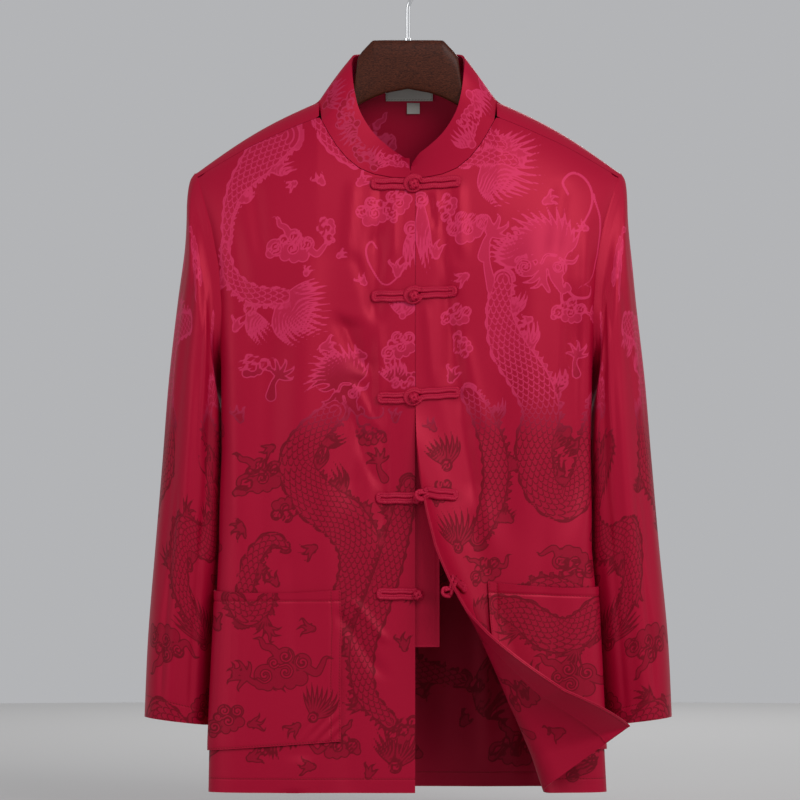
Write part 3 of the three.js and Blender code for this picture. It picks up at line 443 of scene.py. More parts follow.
def front_point(side, length, z):
    """A point of a front's middle layer, length from its front edge."""
    shape = np.broadcast(length, z).shape
    length = np.broadcast_to(length, shape).ravel()
    z = np.broadcast_to(z, shape).ravel()
    x, y = on_row(side, -1, np.minimum(z, TIP_Z), length)
    y = np.where(z > TIP_Z, depth_at(x, z, -1), y)
    p = np.stack([x, y, z], -1).reshape(*shape, 3)
    return turned(p) if side > 0 else p


print("the corner turns by up to", int(TURN_ANGLE[-1, 1]), "degrees")

# %% [markdown]
# Cloth is a thin closed shell: a fine outer layer, a coarser inner one, and a strip round the edge
# that joins them. The coarser inner layer halves the number of faces and nobody sees it.

# %% Meshes from grids
def make_mesh(name, points, faces, smooth=40):
    mesh = bpy.data.meshes.new(name)
    mesh.from_pydata((np.asarray(points) / 1000).tolist(), [], faces)
    mesh.update()
    mesh.polygons.foreach_set("use_smooth", [True] * len(mesh.polygons))
    if smooth:
        mesh.set_sharp_from_angle(angle=math.radians(smooth))
    obj = bpy.data.objects.new(name, mesh)
    bpy.context.scene.collection.objects.link(obj)
    return obj


def add_values(obj, **named):
    """Stores numbers on the points, which the materials read by name."""
    for key, values in named.items():
        attribute = obj.data.attributes.new(key, "FLOAT", "POINT")
        attribute.data.foreach_set("value", np.asarray(values, np.float32).ravel())


def grid_quads(index, closed=False, flip=False):
    a = index[:-1]
    b = index[1:]
    if closed:
        left, right = a, np.roll(a, -1, 1)
        left2, right2 = b, np.roll(b, -1, 1)
    else:
        left, right = a[:, :-1], a[:, 1:]
        left2, right2 = b[:, :-1], b[:, 1:]
    quads = np.stack([left, right, right2, left2], -1).reshape(-1, 4)
    return quads[:, ::-1] if flip else quads


def rim_strip(fine, coarse, step, flip):
    """Triangles between a fine edge and the coarse edge under it."""
    faces = []
    for k in range(len(coarse) - 1):
        part = fine[k * step : (k + 1) * step + 1]
        half = step // 2
        for m in range(step):
            tip = coarse[k] if m < half else coarse[k + 1]
            faces.append((part[m], part[m + 1], tip))
        faces.append((part[half], coarse[k + 1], coarse[k]))
    return [f[::-1] for f in faces] if flip else faces


def shell(name, grid, thick, closed=False, step=2, values=None, outside=1):
    """Closed cloth shell from a grid of its middle points. outside is the side that has the
    fine layer, along the grid's normals."""
    normals = grid_normals(grid, closed)
    outer = grid + normals * (outside * thick / 2)
    inner = (grid - normals * (outside * thick / 2))[::step, ::step]
    rows, cols = grid.shape[:2]
    r2, c2 = inner.shape[:2]
    o = np.arange(rows * cols).reshape(rows, cols)
    n = rows * cols + np.arange(r2 * c2).reshape(r2, c2)
    flip = outside < 0
    faces = grid_quads(o, closed, flip).tolist() + grid_quads(n, closed, not flip).tolist()
    ring = (lambda line: np.append(line, line[0])) if closed else (lambda line: line)
    faces += rim_strip(ring(o[0]).tolist(), ring(n[0]).tolist(), step, not flip)
    faces += rim_strip(ring(o[-1]).tolist(), ring(n[-1]).tolist(), step, flip)
    if not closed:
        faces += rim_strip(o[:, 0].tolist(), n[:, 0].tolist(), step, flip)
        faces += rim_strip(o[:, -1].tolist(), n[:, -1].tolist(), step, not flip)
    points = np.concatenate([outer.reshape(-1, 3), inner.reshape(-1, 3)])
    obj = make_mesh(name, points, faces)
    for key, value in (values or {}).items():
        both = np.concatenate([value.ravel(), value[::step, ::step].ravel()])
        add_values(obj, **{key: both})
    add_values(obj, reverse=np.concatenate([np.zeros(grid[..., 0].size), np.ones(r2 * c2)]))
    print(name, len(points), "points", len(faces), "faces")
    return obj


def refine(marks, step):
    """Splits the spaces of a list of numbers into equal parts, each mark kept."""
    out = [marks[0]]
    for a, b in zip(marks[:-1], marks[1:]):
        n = max(1, round(abs(b - a) / step))
        out += [a + (b - a) * (k + 1) / n for k in range(n)]
    return np.array(out)


def to_even(marks):
    """Adds one mark where it is needed, so that the number of spaces is even."""
    if len(marks) % 2 == 1:
        return marks
    gap = np.argmax(np.abs(np.diff(marks)))
    return np.insert(marks, gap + 1, (marks[gap] + marks[gap + 1]) / 2)


print("a line split by sixths:", refine([0, 0.5, 1], 1 / 6).round(2))

# %% [markdown]
# The two fronts run from the hem to the neck and the forward shoulder seam. The columns start at
# the front edge. Above the underarm the rows crowd towards the top edge of each column.

# %% Fronts
SIGMA = math.sqrt(TIP_Z - UNDERARM_Z)
FRONT_ROWS_LOW = 212
FRONT_ROWS_HIGH = 111
COLUMN_STEP = 1 / 118
RIGHT_MARKS = [0, 0.29, 0.377, 0.4148, 0.8, 1]
LEFT_MARKS = [0, 0.28, 0.3752, 0.42, 0.8, 1]


def front_top(ax):
    strip = ridge(ax, -1) - np.interp(ax, STRIP[:, 0], STRIP[:, 1])
    return np.where(ax <= STRIP_FROM, np.interp(ax, NECK_FRONT[:, 0], NECK_FRONT[:, 1]), strip)


def front_heights(side, columns):
    """Heights of a front's points: level rows up to the underarm, then shares of each column."""
    tip = np.full(len(columns), float(TIP_Z))
    x, _ = on_row(side, -1, tip, column_length(side, -1, columns, tip))
    ax = np.abs(x)
    top = front_top(ax) - SEAM
    share = np.arange(1, FRONT_ROWS_HIGH + 1)[:, None] / FRONT_ROWS_HIGH
    high = UNDERARM_Z + (top[None] - UNDERARM_Z) * share
    low_rows = np.linspace(HEM_Z, UNDERARM_Z, FRONT_ROWS_LOW)
    low = np.repeat(low_rows[:, None], len(columns), 1)
    return np.concatenate([low, high])


def front_panel(side, marks):
    """Grid of a front, with each point's length from the edge, height, and place for figures."""
    columns = to_even(refine(marks, COLUMN_STEP))
    heights = front_heights(side, columns)
    shape = heights.shape
    u = np.broadcast_to(columns[None], shape).ravel()
    z = heights.ravel()
    zz = np.minimum(z, TIP_Z)
    rows = rows_at(side, -1, zz)
    length = column_length(side, -1, u, zz, rows)
    x, y = on_row(side, -1, zz, length, rows)
    y = np.where(z > TIP_Z, depth_at(x, z, -1), y)
    p = np.stack([x, y, z], -1).reshape(*shape, 3)
    length = length.reshape(shape)
    # figures are spaced by what is seen in front, and by the cloth itself round the side
    seen = np.abs(np.diff(p[..., 0], axis=1))
    share = ease((np.abs(p[:, 1:, 0]) - 165) / 30)
    steps = mix(seen, np.diff(length, axis=1), share)
    drawn = FRONT_X + np.concatenate([np.zeros((len(p), 1)), np.cumsum(steps, 1)], 1)
    return turned(p) if side > 0 else p, length, heights, side * drawn


right_front = front_panel(-1, RIGHT_MARKS)
left_front = front_panel(1, LEFT_MARKS)
print("fronts", right_front[0].shape, left_front[0].shape)

# %% [markdown]
# The back is one panel. It hangs over the hanger and comes a little way down the front, which is
# the forward shoulder seam of such a shirt. Its rows are spaced by the square root of the fall, so
# they bend tightly over the ridge and wide below it.

# %% Back
BACK_HALF = [0, 0.09, 0.18, 0.27, 0.33, 0.37, 0.3965, 0.4021, 0.4059, 0.45, 0.8, 1]
BACK_LOW_TOP = -484  # below this the rows are level
STRIP_ROOT = 2.24  # square root of the strip's depth at the shoulder's tip


def back_point(side, u, sigma):
    """Points of one half of the back for columns u, at the shares sigma of the upper part."""
    tip = np.full(u.shape, float(TIP_Z))
    rows = rows_at(side, 1, tip)
    at_x, _ = on_row(side, 1, tip, column_length(side, 1, u, tip, rows), rows)
    ax = np.abs(at_x)
    peak = ridge(ax, 1)
    low = np.sqrt(peak - UNDERARM_Z)
    neck = np.interp(ax, NECK_BACK[:, 0], NECK_BACK[:, 1])
    high = np.where(
        ax >= STRIP_FROM + 0.9,
        -np.sqrt(np.interp(ax, STRIP[:, 0], STRIP[:, 1])),
        np.where(ax >= STRIP_FROM, -1.4, np.sqrt(np.maximum(peak - neck, 0.3))),
    )
    g = (sigma + STRIP_ROOT) / (SIGMA + STRIP_ROOT)
    s = mix(high, low, g)
    z = peak - s * s
    over = (z > TIP_Z) | (s < 0)
    zz = np.minimum(z, TIP_Z)
    rows = rows_at(side, 1, zz)
    x, y = on_row(side, 1, zz, column_length(side, 1, u, zz, rows), rows)
    y_over = np.where(s < 0, depth_at(at_x, z, -1), depth_at(at_x, z, 1))
    return np.stack([np.where(over, at_x, x), np.where(over, y_over, y), z], -1)


def back_panel():
    """Grid of the whole back, from the hem up and over the ridge to the forward shoulder seam."""
    half = refine(BACK_HALF, 1 / 66)
    sigmas = [SIGMA]
    while sigmas[-1] > 4.2:
        sigmas.append(math.sqrt(sigmas[-1] ** 2 - 4))
    sigmas += np.linspace(sigmas[-1], -STRIP_ROOT, 21)[1:].tolist()
    low_rows = np.linspace(HEM_Z, BACK_LOW_TOP, 110 if len(sigmas) % 2 else 111)
    halves = []
    for side in (-1, 1):
        u = np.broadcast_to(half[None], (len(low_rows), len(half))).ravel()
        z = np.broadcast_to(low_rows[:, None], (len(low_rows), len(half))).ravel()
        rows = rows_at(side, 1, z)
        x, y = on_row(side, 1, z, column_length(side, 1, u, z, rows), rows)
        low = np.stack([x, y, z], -1).reshape(len(low_rows), len(half), 3)
        u2 = np.broadcast_to(half[None], (len(sigmas), len(half))).ravel()
        s2 = np.broadcast_to(np.array(sigmas)[:, None], (len(sigmas), len(half))).ravel()
        high = back_point(side, u2, s2).reshape(len(sigmas), len(half), 3)
        halves.append(np.concatenate([low, high]))
    return np.concatenate([halves[0][:, ::-1], halves[1][:, 1:]], 1)


back_grid = back_panel()
print("back", back_grid.shape)

# %% [markdown]
# A sleeve is set into the armhole, so its first ring follows the armhole's edge. The next rings
# step out from the body before they go down to the cuff, where the ring is a flat oval.

# %% Armhole rings
# square roots of the fall at the ring's points, in front and behind
HIGH_FRONT = [14.76, 14.6, 14.2, 13.5, 12.6, 11.5, 10.1, 8.4, 6.8, 5.0, 3.4, STRIP_ROOT]
HIGH_BACK = [14.76, 14.6, 14.2, 13.5, 12.6, 11.5, 10.1, 8.4, 6.8, 5.0, 3.4, 1.7, 0, -STRIP_ROOT]
RING_SPLIT = 8
RING_IN = 0.15  # how far the ring lies inside the armhole's edge


def armhole(side):
    """The armhole's edge, as the points of the solids' ring, moved into the opening by a seam."""
    u = np.array([0.95, 1.0])
    tip = np.full(2, float(TIP_Z))
    x, _ = on_row(side, -1, tip, column_length(side, -1, u, tip), fine=False)
    ax = np.abs(x)
    top = front_top(ax) - SEAM
    peak = ridge(ax, -1)
    low = np.sqrt(peak - UNDERARM_Z)
    high = np.sqrt(np.maximum(peak - top, 0.2))
    g = (np.array(HIGH_FRONT) - STRIP_ROOT) / (SIGMA - STRIP_ROOT)
    sigma = mix(high[None], low[None], g[:, None])
    z = peak[None] - sigma**2
    z = np.concatenate([np.full((1, 2), float(BACK_LOW_TOP)), z])
    pts = []
    for j in range(2):
        zz = np.minimum(z[:, j], TIP_Z)
        rows = rows_at(side, -1, zz, fine=False)
        length = column_length(side, -1, np.full(len(zz), u[j]), zz, rows)
        px, py = on_row(side, -1, zz, length, rows)
        py = np.where(z[:, j] > TIP_Z, depth_at(px, z[:, j], -1, fine=False), py)
        pts.append(np.stack([px, py, z[:, j]], -1))
    panel = np.stack(pts, 1)
    normals = unit(np.cross(panel[:, 1:] - panel[:, :1], np.gradient(panel, axis=0)[:, 1:]))
    b = np.stack([back_point(side, u, np.full(2, h)) for h in HIGH_BACK])
    order = b if side > 0 else b[:, ::-1]
    behind = b[:, 1]
    behind_normals = -unit(np.cross(order[:, 1] - order[:, 0], np.gradient(behind, axis=0)))
    ring = np.concatenate([panel[1:, 1], behind[1:-1][::-1]])
    norm = np.concatenate([normals[1:, 0] * side, behind_normals[1:-1][::-1]])
    ring[0] = (ring[0] + behind[0]) / 2
    norm[0] = (side, 0, 0)
    middle = ring.mean(0)
    into = unit(np.cross(np.roll(ring, -1, 0) - np.roll(ring, 1, 0), norm))
    wrong = ((middle - ring) * into).sum(1) < 0
    into[wrong] *= -1
    return ring + into * RING_IN


def round_curve(points, split):
    """A smooth closed curve through a ring of points."""
    n = len(points)
    q = np.arange(n * split) / split
    i = q.astype(int)
    t = (q - i)[:, None]
    return spline(*(points[(i + k) % n] for k in (-1, 0, 1, 2)), t)


for side in (-1, 1):
    ring = armhole(side)
    print("armhole", side, len(ring), ring.min(0).round(), ring.max(0).round())

# %% [markdown]
# Below the armhole each ring of a sleeve is a flat oval between an outer and an inner line. The
# table gives both lines. The folds and creases run down the sleeve at places round it.

# %% Sleeves
# place along, height of the outer and inner line, front and back ends of the ring, then the
# outer and inner line's distance from the middle: the right sleeve's two and the left sleeve's
SLEEVES = np.array([
    (0.0, -237, -455, -47, 43, 232, 193, 232, 190),
    (0.03, -247, -464, -49, 48, 237, 199, 235.5, 196),
    (0.08, -273, -484, -52, 60, 241.5, 204, 239, 201),
    (0.16, -325, -514, -52, 74, 246.5, 204, 246, 201),
    (0.26, -383, -556, -51, 84, 254.5, 202.5, 252, 198.5),
    (0.4, -466, -614, -49, 84, 264, 203.5, 261.5, 198.5),
    (0.54, -555, -668, -46, 80, 271, 205, 269, 199.5),
    (0.7, -651, -729, -41, 75, 279, 210.5, 277.5, 204.5),
    (0.86, -749, -792, -36, 69, 287, 214.5, 287, 210.5),
    (1.0, -838, -847, -33, 64, 291, 218, 291.5, 217),
], float)
SLEEVE_STEP_OUT = 3.4  # how far the sleeve's head stands off the body
# place round the ring, from, to, half width, depth
FOLDS_SLEEVE = [
    (0.14, 0.05, 0.75, 0.035, -4),
    (0.22, 0.3, 1.0, 0.03, 3),
    (0.32, 0.12, 0.6, 0.03, -4),
    (0.7, 0.1, 0.8, 0.04, -5),
    (0.85, 0.2, 1.0, 0.04, 4),
]
CREASES_SLEEVE = [
    (0.08, 0.1, 0.5, 0.016, -1.6),
    (0.18, 0.55, 0.95, 0.014, -1.8),
    (0.27, 0.05, 0.4, 0.014, 1.6),
    (0.3, 0.5, 0.98, 0.016, -1.5),
    (0.38, 0.1, 0.7, 0.018, 1.8),
    (0.6, 0.1, 0.9, 0.02, 2.0),
    (0.78, 0.4, 1.0, 0.02, -2.0),
    (0.93, 0.15, 0.8, 0.018, -1.8),
]
ARC = 60  # steps of half an oval, before it is spaced evenly
SLEEVE_ROWS = 260


def resample(points, count):
    """The same line with evenly spaced points."""
    walked = walked_along(points)
    goal = np.linspace(0, walked[-1], count + 1)
    return np.stack([np.interp(goal, walked, points[:, k]) for k in range(3)], -1)


def sleeve_grid(side):
    """Rings of a sleeve from the armhole down to the cuff."""
    edge = round_curve(armhole(side), RING_SPLIT)
    count = len(edge)
    top = (len(HIGH_FRONT) + 1) * RING_SPLIT
    outer_x, inner_x = (side * SLEEVES[:, k] for k in ((5, 6) if side < 0 else (7, 8)))
    lines = (outer_x, SLEEVES[:, 1], inner_x, SLEEVES[:, 2], SLEEVES[:, 3], SLEEVES[:, 4])
    start = np.array([outer_x[0] + inner_x[0], 0, SLEEVES[0, 1] + SLEEVES[0, 2]])
    a = np.arange(ARC + 1) / ARC * math.pi
    along = 0.5 - 0.5 * np.sign(np.cos(a)) * np.abs(np.cos(a)) ** 0.8
    swell = np.sin(a) ** 0.8
    turn = np.where(
        np.arange(count) <= top,
        0.5 - 0.5 * np.arange(count) / top,
        1 - 0.5 * (np.arange(count) - top) / (count - top),
    )
    rings = [edge]
    for f in np.linspace(0, 1, SLEEVE_ROWS):
        ox, oz, ix, iz, fr, bk = (float(glide(SLEEVES[:, 0], line, f)) for line in lines)
        outer = np.array([ox, 0, oz])
        inner = np.array([ix, 0, iz])
        mid = (fr + bk) / 2
        halves = []
        for way in (-1, 1):
            arc = inner + (outer - inner) * along[:, None]
            arc[:, 1] = mid + way * (bk - fr) / 2 * swell
            halves.append(arc)
        up = resample(halves[0], top)
        down = resample(halves[1][::-1], count - top)
        oval = np.concatenate([up, down[1:-1]])
        centre = (outer + inner) / 2
        centre[1] = mid
        shift = (outer + inner - start) / 2
        out_step = SLEEVE_STEP_OUT * (1 - 0.6 * ease((edge[:, 2:] + 330) / 70))
        shift = shift + out_step * np.array([side, 0, 0])
        away = unit(oval - centre)
        push = np.zeros(count)
        for place, f1, f2, wide, deep in FOLDS_SLEEVE + CREASES_SLEEVE:
            t = (f - f1) / (f2 - f1)
            fade = float(ease((t + 0.1) / 0.25) * ease((1.1 - t) / 0.25))
            d = (turn - place) / wide
            push += deep * fade * np.exp(-d * d)
        oval = oval + away * push[:, None]
        blend = float(ease((f - 0.012) / 0.15))
        rings.append(mix(edge + shift, oval, blend))
    return np.stack(rings)


right_sleeve = sleeve_grid(-1)
left_sleeve = sleeve_grid(1)
print("sleeves", right_sleeve.shape)

# %% [markdown]
# The stand collar is a band that stands on the neck edge and leans in to its own upper edge. Its
# two ends meet in front, one of them rounded off.

# %% Collar
COLLAR_WALL = 2.4
COLLAR_LIFT = 0.55  # gap between the band and the neck's edge
COLLAR_ROWS = 21
BAND_HIGH = 48
# seam line x, y, z and upper edge x, y, z, from the front middle to the back middle
COLLAR = np.array([
    (4, -51, -243, 3, -22, -222.5),
    (38, -50, -238.5, 20, -25, -211),
    (67, -43.5, -219.5, 39, -24, -193),
    (87, -31, -191, 53, -18, -170),
    (95.5, -17, -173, 59, -11, -147),
    (97.5, 0, -156.5, 61.5, -2.5, -124),
    (90, 9.5, -149.8, 61, 9, -108.5),
    (70, 24, -145.4, 49, 20, -105),
    (38, 36, -145.8, 28, 27, -103),
    (0, 40, -146.8, 0, 30, -102),
], float)


def walk_share(points):
    walked = walked_along(points)
    return walked / walked[-1]


def neck_edge(front, half):
    """One half of the neck's edge: the front's part, then the back's."""
    line = front[-1]
    keep = np.abs(line[:, 0]) < 97.2
    keep[0] = True
    behind = half[(half[:, 1] > -14) & (np.abs(half[:, 0]) < 99.4)]
    return np.concatenate([line[keep], behind])


def collar_grid(levels):
    """Grid of the band, one row at each share of its height."""
    table_walk = walk_share(COLLAR[:, :3])
    top = back_grid[-1]
    half = (len(top) - 1) // 2
    ring = []
    edges = (
        (-1, neck_edge(right_front[0], top[: half + 1])),
        (1, neck_edge(left_front[0], top[half:][::-1])),
    )
    for side, edge in edges:
        edge = resample(edge, 150)
        walk = walk_share(edge)
        tip = np.stack([glide(table_walk, COLLAR[:, k], walk) for k in (3, 4, 5)], -1)
        tip[:, 0] *= side
        ring.append((edge, tip, walk, np.full(len(edge), side)))
    base, tip, walk, sides = (
        np.concatenate([ring[0][k], ring[1][k][:-1][::-1]]) for k in range(4)
    )
    up = unit(tip - base)
    base = base + up * COLLAR_LIFT
    out = []
    for h in levels:
        near = np.where(sides > 0, np.maximum(0, 1 - walk / 0.1), 0)
        cut = float(ease((h - 0.5) / 0.5)) * near * near * 0.3
        p = mix(base, tip, (h - cut)[:, None])
        p[0, 0] = 1.7
        p[-1, 0] = 3.3 + cut[-1] * 5
        away = unit(np.stack([p[:, 0], p[:, 1] * 1.4, np.zeros(len(p))], -1))
        out.append(p + away * (math.sin(h * math.pi) * 1.5))
    return np.stack(out)


collar_points = collar_grid(np.linspace(0, 1, COLLAR_ROWS))
print("collar", collar_points.shape)

# %% [markdown]
# The cloth is a jacquard: dragons, clouds and tufts are woven into the satin, so they belong to the
# cloth and bend with it. They are drawn here as strokes in millimetres on the flat cloth. For each
# point of a piece, the distance to the nearest stroke's edge is stored, and the material turns that
# distance into a crisp figure. Distances blend well between points, which colours would not.

# %% Drawing figures on cloth
OUTSIDE = -6.0  # distance that stands for far outside, in mm
SCALED_MOST = 9


def turned_points(points, x, y, size, turn, flip=1):
    """Moves points of a small drawing to their place on the cloth."""
    p = np.asarray(points, float) * size
    px = p[:, 0] * flip
    c, s = math.cos(math.radians(turn)), math.sin(math.radians(turn))
    return np.stack([x + c * px - s * p[:, 1], y + s * px + c * p[:, 1]], -1)


def curve(points, count):
    """A smooth curve through a few flat points."""
    points = np.asarray(points, float)
    walk = walk_share(points)
    goal = np.linspace(0, 1, count)
    return np.stack([glide(walk, points[:, k], goal) for k in (0, 1)], -1)


def thick_line(points, radii, count):
    """Rows of x, y and radius along a smooth line."""
    share = np.linspace(0, 1, count)
    return np.column_stack([curve(points, count), np.interp(share, np.linspace(0, 1, len(radii)), radii)])


class Figures:
    """What is woven into one piece: strokes, cut lines inside them, and scaled bodies."""

    def __init__(self, table=None):
        """A table gives the rows of numbers for each kind of figure."""
        self.strokes = []
        self.cuts = []
        self.bodies = []
        for kind, rows in (table or {}).items():
            for row in rows:
                getattr(self, kind)(*row)

    def stroke(self, points, radii, count=12, cut=False):
        (self.cuts if cut else self.strokes).append(thick_line(points, radii, count))

    def body(self, points, radii, spikes=1):
        """A scaled body along a line; spikes is the side that has the back fin."""
        count = 12 * len(points)
        body = thick_line(points, radii, count)
        line = body[:, :2]
        r = body[:, 2]
        self.bodies.append((body, spikes))
        # small fins of flame-like tufts along the back
        walk = walk_share(line)
        size = np.hypot(*np.diff(line, axis=0).T).sum()
        for s in np.arange(38, size - 20, 52):
            k = int(np.searchsorted(walk, s / size))
            ahead = line[min(k + 1, count - 1)] - line[max(k - 1, 0)]
            side = np.array([-ahead[1], ahead[0]]) / np.hypot(*ahead) * spikes
            out = side * 0.75 - ahead / np.hypot(*ahead) * 0.65
            x, y = line[k] + side * r[k] * 0.9
            turn = math.degrees(math.atan2(out[1], out[0]))
            self.fan(x, y, turn, 15 + r[k], 62, 5, 26 * spikes, 1.9, 0.1)

    def fan(self, x, y, turn, length, spread, count=13, bend=35, thick=2.6, root=0.3):
        """Long tufts that sweep out from one place."""
        for k in range(count):
            part = k / max(count - 1, 1)
            a = turn + spread * (part - 0.5)
            far = length * (0.78 + 0.22 * math.sin(part * math.pi) + 0.07 * math.sin(7.3 * k))
            way = bend * (1 - 1.2 * part)
            points = []
            for share, twist in ((root, 0), (0.55, 0.25), (0.8, 0.6), (1.0, 1.0)):
                r = math.radians(a + way * twist)
                points.append((x + far * share * math.cos(r), y + far * share * math.sin(r)))
            self.stroke(points, (thick * 0.9, thick, thick * 0.62, 0.15), 9)
        self.stroke([(x - 0.01, y), (x + 0.01, y)], (length * root * 0.75,) * 2, 3)
        if length * root > 7:
            self.spiral(x, y, length * root * 0.6, turn)

    def flame(self, x, y, size, turn=0, flip=1):
        """Three wavy tongues, used to fill a gap between larger figures."""
        for k, (rise, far) in enumerate(((0.0, 1.0), (0.45, 0.8), (-0.4, 0.75))):
            tongue = [(0, 0), (0.35, rise * 0.5), (0.6, rise + 0.12), (far, rise * 1.1 - 0.1)]
            pts = turned_points(tongue, x, y, size, turn, flip)
            self.stroke(pts, (0.16 * size, 0.13 * size, 0.08 * size, 0.2), 12)
        self.spiral(x, y, 0.26 * size, turn, flip, 1.4, 1.2, False)

    def spiral(self, x, y, radius, turn, flip=1, width=0.8, turns=1.35, cut=True):
        """A curl, as a line cut into a lobe or a stroke of its own."""
        t = np.linspace(0, 1, 9)
        r = radius * (0.12 + 0.88 * t)
        a = t * turns * 2 * math.pi
        pts = turned_points(np.stack([r * np.cos(a), r * np.sin(a)], -1), x, y, 1, turn, flip)
        self.stroke(pts, (width * 1.3, width, width * 0.8), 30, cut)

    def cloud(self, x, y, size, turn=0, flip=1, tails=True):
        """A curled cloud: lobes with a spiral in each, and two thin tails."""
        lobes = (
            (0, 0, 1.0), (-1.75, 0.1, 0.95), (0.25, 1.3, 0.8), (1.55, 0.5, 0.8), (-0.8, 0.95, 0.6),
            (1.1, -0.75, 0.7), (-0.75, -0.75, 0.6), (0.2, -1.0, 0.55), (-2.3, -0.55, 0.5),
        )
        for k, (lx, ly, r) in enumerate(lobes):
            p = turned_points([(lx, ly)], x, y, size, turn, flip)[0]
            self.stroke([p - 0.01, p + 0.01], (r * size,) * 2, 3)
            if k < 5:
                self.spiral(p[0], p[1], r * size * 0.72, turn + 140 * k, flip * (-1) ** k)
        if tails:
            up = [(-0.2, 1.3), (-0.7, 2.2), (-1.3, 2.5), (-1.5, 3.2), (-2.2, 3.3)]
            out = [(1.6, 0.2), (2.5, -0.6), (3.1, -0.1), (3.6, 0.5), (4.3, 0.2)]
            for tail in (up, out):
                pts = turned_points(tail, x, y, size, turn, flip)
                self.stroke(pts, (0.42 * size, 0.36 * size, 0.26 * size, 0.1), 16)

    def claw(self, x, y, size, turn=0, leg=True):
        """A foot with five hooked toes."""
        for k, a in enumerate((-78, -40, -4, 34, 76)):
            r = math.radians(a)
            far = 1.0 if k not in (0, 4) else 0.8
            toe = [
                (0.1 * math.cos(r), 0.1 * math.sin(r)),
                (0.55 * far * math.cos(r), 0.55 * far * math.sin(r)),
                (far * math.cos(r + 0.12), far * math.sin(r + 0.12)),
                (1.15 * far * math.cos(r + 0.34), 1.15 * far * math.sin(r + 0.34)),
            ]
            pts = turned_points(toe, x, y, size, turn)
            self.stroke(pts, (0.17 * size, 0.15 * size, 0.1 * size, 0.1), 9)
        if leg:
            pts = turned_points([(0, 0), (-0.5, 0.05), (-1.2, -0.2)], x, y, size, turn)
            self.stroke(pts, (0.16 * size, 0.2 * size, 0.34 * size), 9)

    def whisker(self, points, width=1.1):
        """A long thin thread of even width."""
        self.stroke(points, (width, width, width * 0.8, 0.3), 30)

    def head(self, x, y, size, turn=0, flip=1):
        """A dragon's head of plain design, seen from the side, looking along +x."""
        def put(points):
            return turned_points(points, x, y, size, turn, flip)

        for k in range(15):
            part = k / 14
            a = math.radians(75 + 150 * part)
            far = 1.55 + 0.3 * math.sin(part * math.pi) + 0.12 * math.sin(5 * k)
            base = (-0.2 + 0.35 * math.cos(a), 0.05 + 0.35 * math.sin(a))
            mid = (-0.3 + 0.95 * math.cos(a + 0.12), 0.05 + 0.95 * math.sin(a + 0.12))
            tip = (-0.3 + far * math.cos(a + 0.42), 0.0 + far * math.sin(a + 0.42))
            self.stroke(put([base, mid, tip]), (0.1 * size, 0.11 * size, 0.15), 9)
        solid = (
            ([(-0.25, 0.05), (0.2, 0.12)], (0.46, 0.4)),
            ([(0.2, 0.05), (0.65, -0.08), (1.0, -0.02)], (0.3, 0.22, 0.2)),
            ([(0.98, 0.1), (1.1, 0.14)], (0.15, 0.12)),
            ([(0.0, -0.3), (0.4, -0.5), (0.85, -0.52)], (0.2, 0.13, 0.07)),
            ([(0.05, 0.45), (-0.25, 0.85), (-0.75, 1.15), (-1.2, 1.1)], (0.1, 0.1, 0.08, 0.03)),
            ([(0.15, 0.42), (0.35, 0.75), (0.2, 1.05)], (0.08, 0.08, 0.02)),
            ([(-0.1, -0.45), (0.0, -0.8), (-0.15, -1.15)], (0.13, 0.1, 0.02)),
            ([(0.15, -0.55), (0.25, -0.85), (0.15, -1.2)], (0.11, 0.09, 0.02)),
            ([(0.4, -0.6), (0.5, -0.8), (0.45, -1.05)], (0.08, 0.07, 0.02)),
            ([(-0.45, -0.35), (-0.5, -0.75), (-0.75, -1.0)], (0.13, 0.1, 0.02)),
        )
        for points, radii in solid:
            self.stroke(put(points), [r * size for r in radii], 12)
        for points in (
            [(1.05, 0.05), (1.5, 0.25), (1.7, 0.7), (1.45, 0.95), (1.3, 0.75)],
            [(1.0, -0.1), (1.5, -0.3), (1.8, -0.05), (2.1, -0.25)],
        ):
            self.stroke(put(points), (0.05 * size, 0.05 * size, 0.04 * size, 0.2), 20)
        around = np.linspace(0, 6.3, 9)
        for points in (
            [(0.25 + 0.15 * math.cos(t), 0.16 + 0.13 * math.sin(t)) for t in around],
            [(0.0, 0.38), (0.25, 0.42), (0.5, 0.3)],
            [(0.15, -0.22), (0.5, -0.3), (0.95, -0.24)],
            [(-0.15, 0.3), (-0.32, 0.0), (-0.15, -0.28)],
            [(0.8, 0.1), (0.95, 0.05)],
        ):
            self.stroke(put(points), (0.6, 0.6), 20, True)

    def distances(self, u, v):
        """What the material reads, for flat places u, v: distance inside the strokes, distance
        inside a scaled body, and the place along and across that body."""
        place = np.stack([u.ravel(), v.ravel()], -1)
        count = len(place)
        fill = np.full(count, OUTSIDE)
        cut = np.full(count, OUTSIDE)
        for lines, out in ((self.strokes, fill), (self.cuts, cut)):
            for line in lines:
                near, d, r, _, _ = nearest_on(line, place, 7)
                if len(near):
                    out[near] = np.maximum(out[near], r - d)
        fill = np.minimum(fill, -cut)
        inside = np.full(count, OUTSIDE)
        along = np.zeros(count)
        across = np.zeros(count)
        for line, spikes in self.bodies:
            near, d, r, s, way = nearest_on(line, place, 16)
            if not len(near):
                continue
            deep = r - d
            better = deep > inside[near]
            inside[near] = np.maximum(inside[near], deep)
            along[near[better]] = s[better]
            across[near[better]] = (way * d)[better]
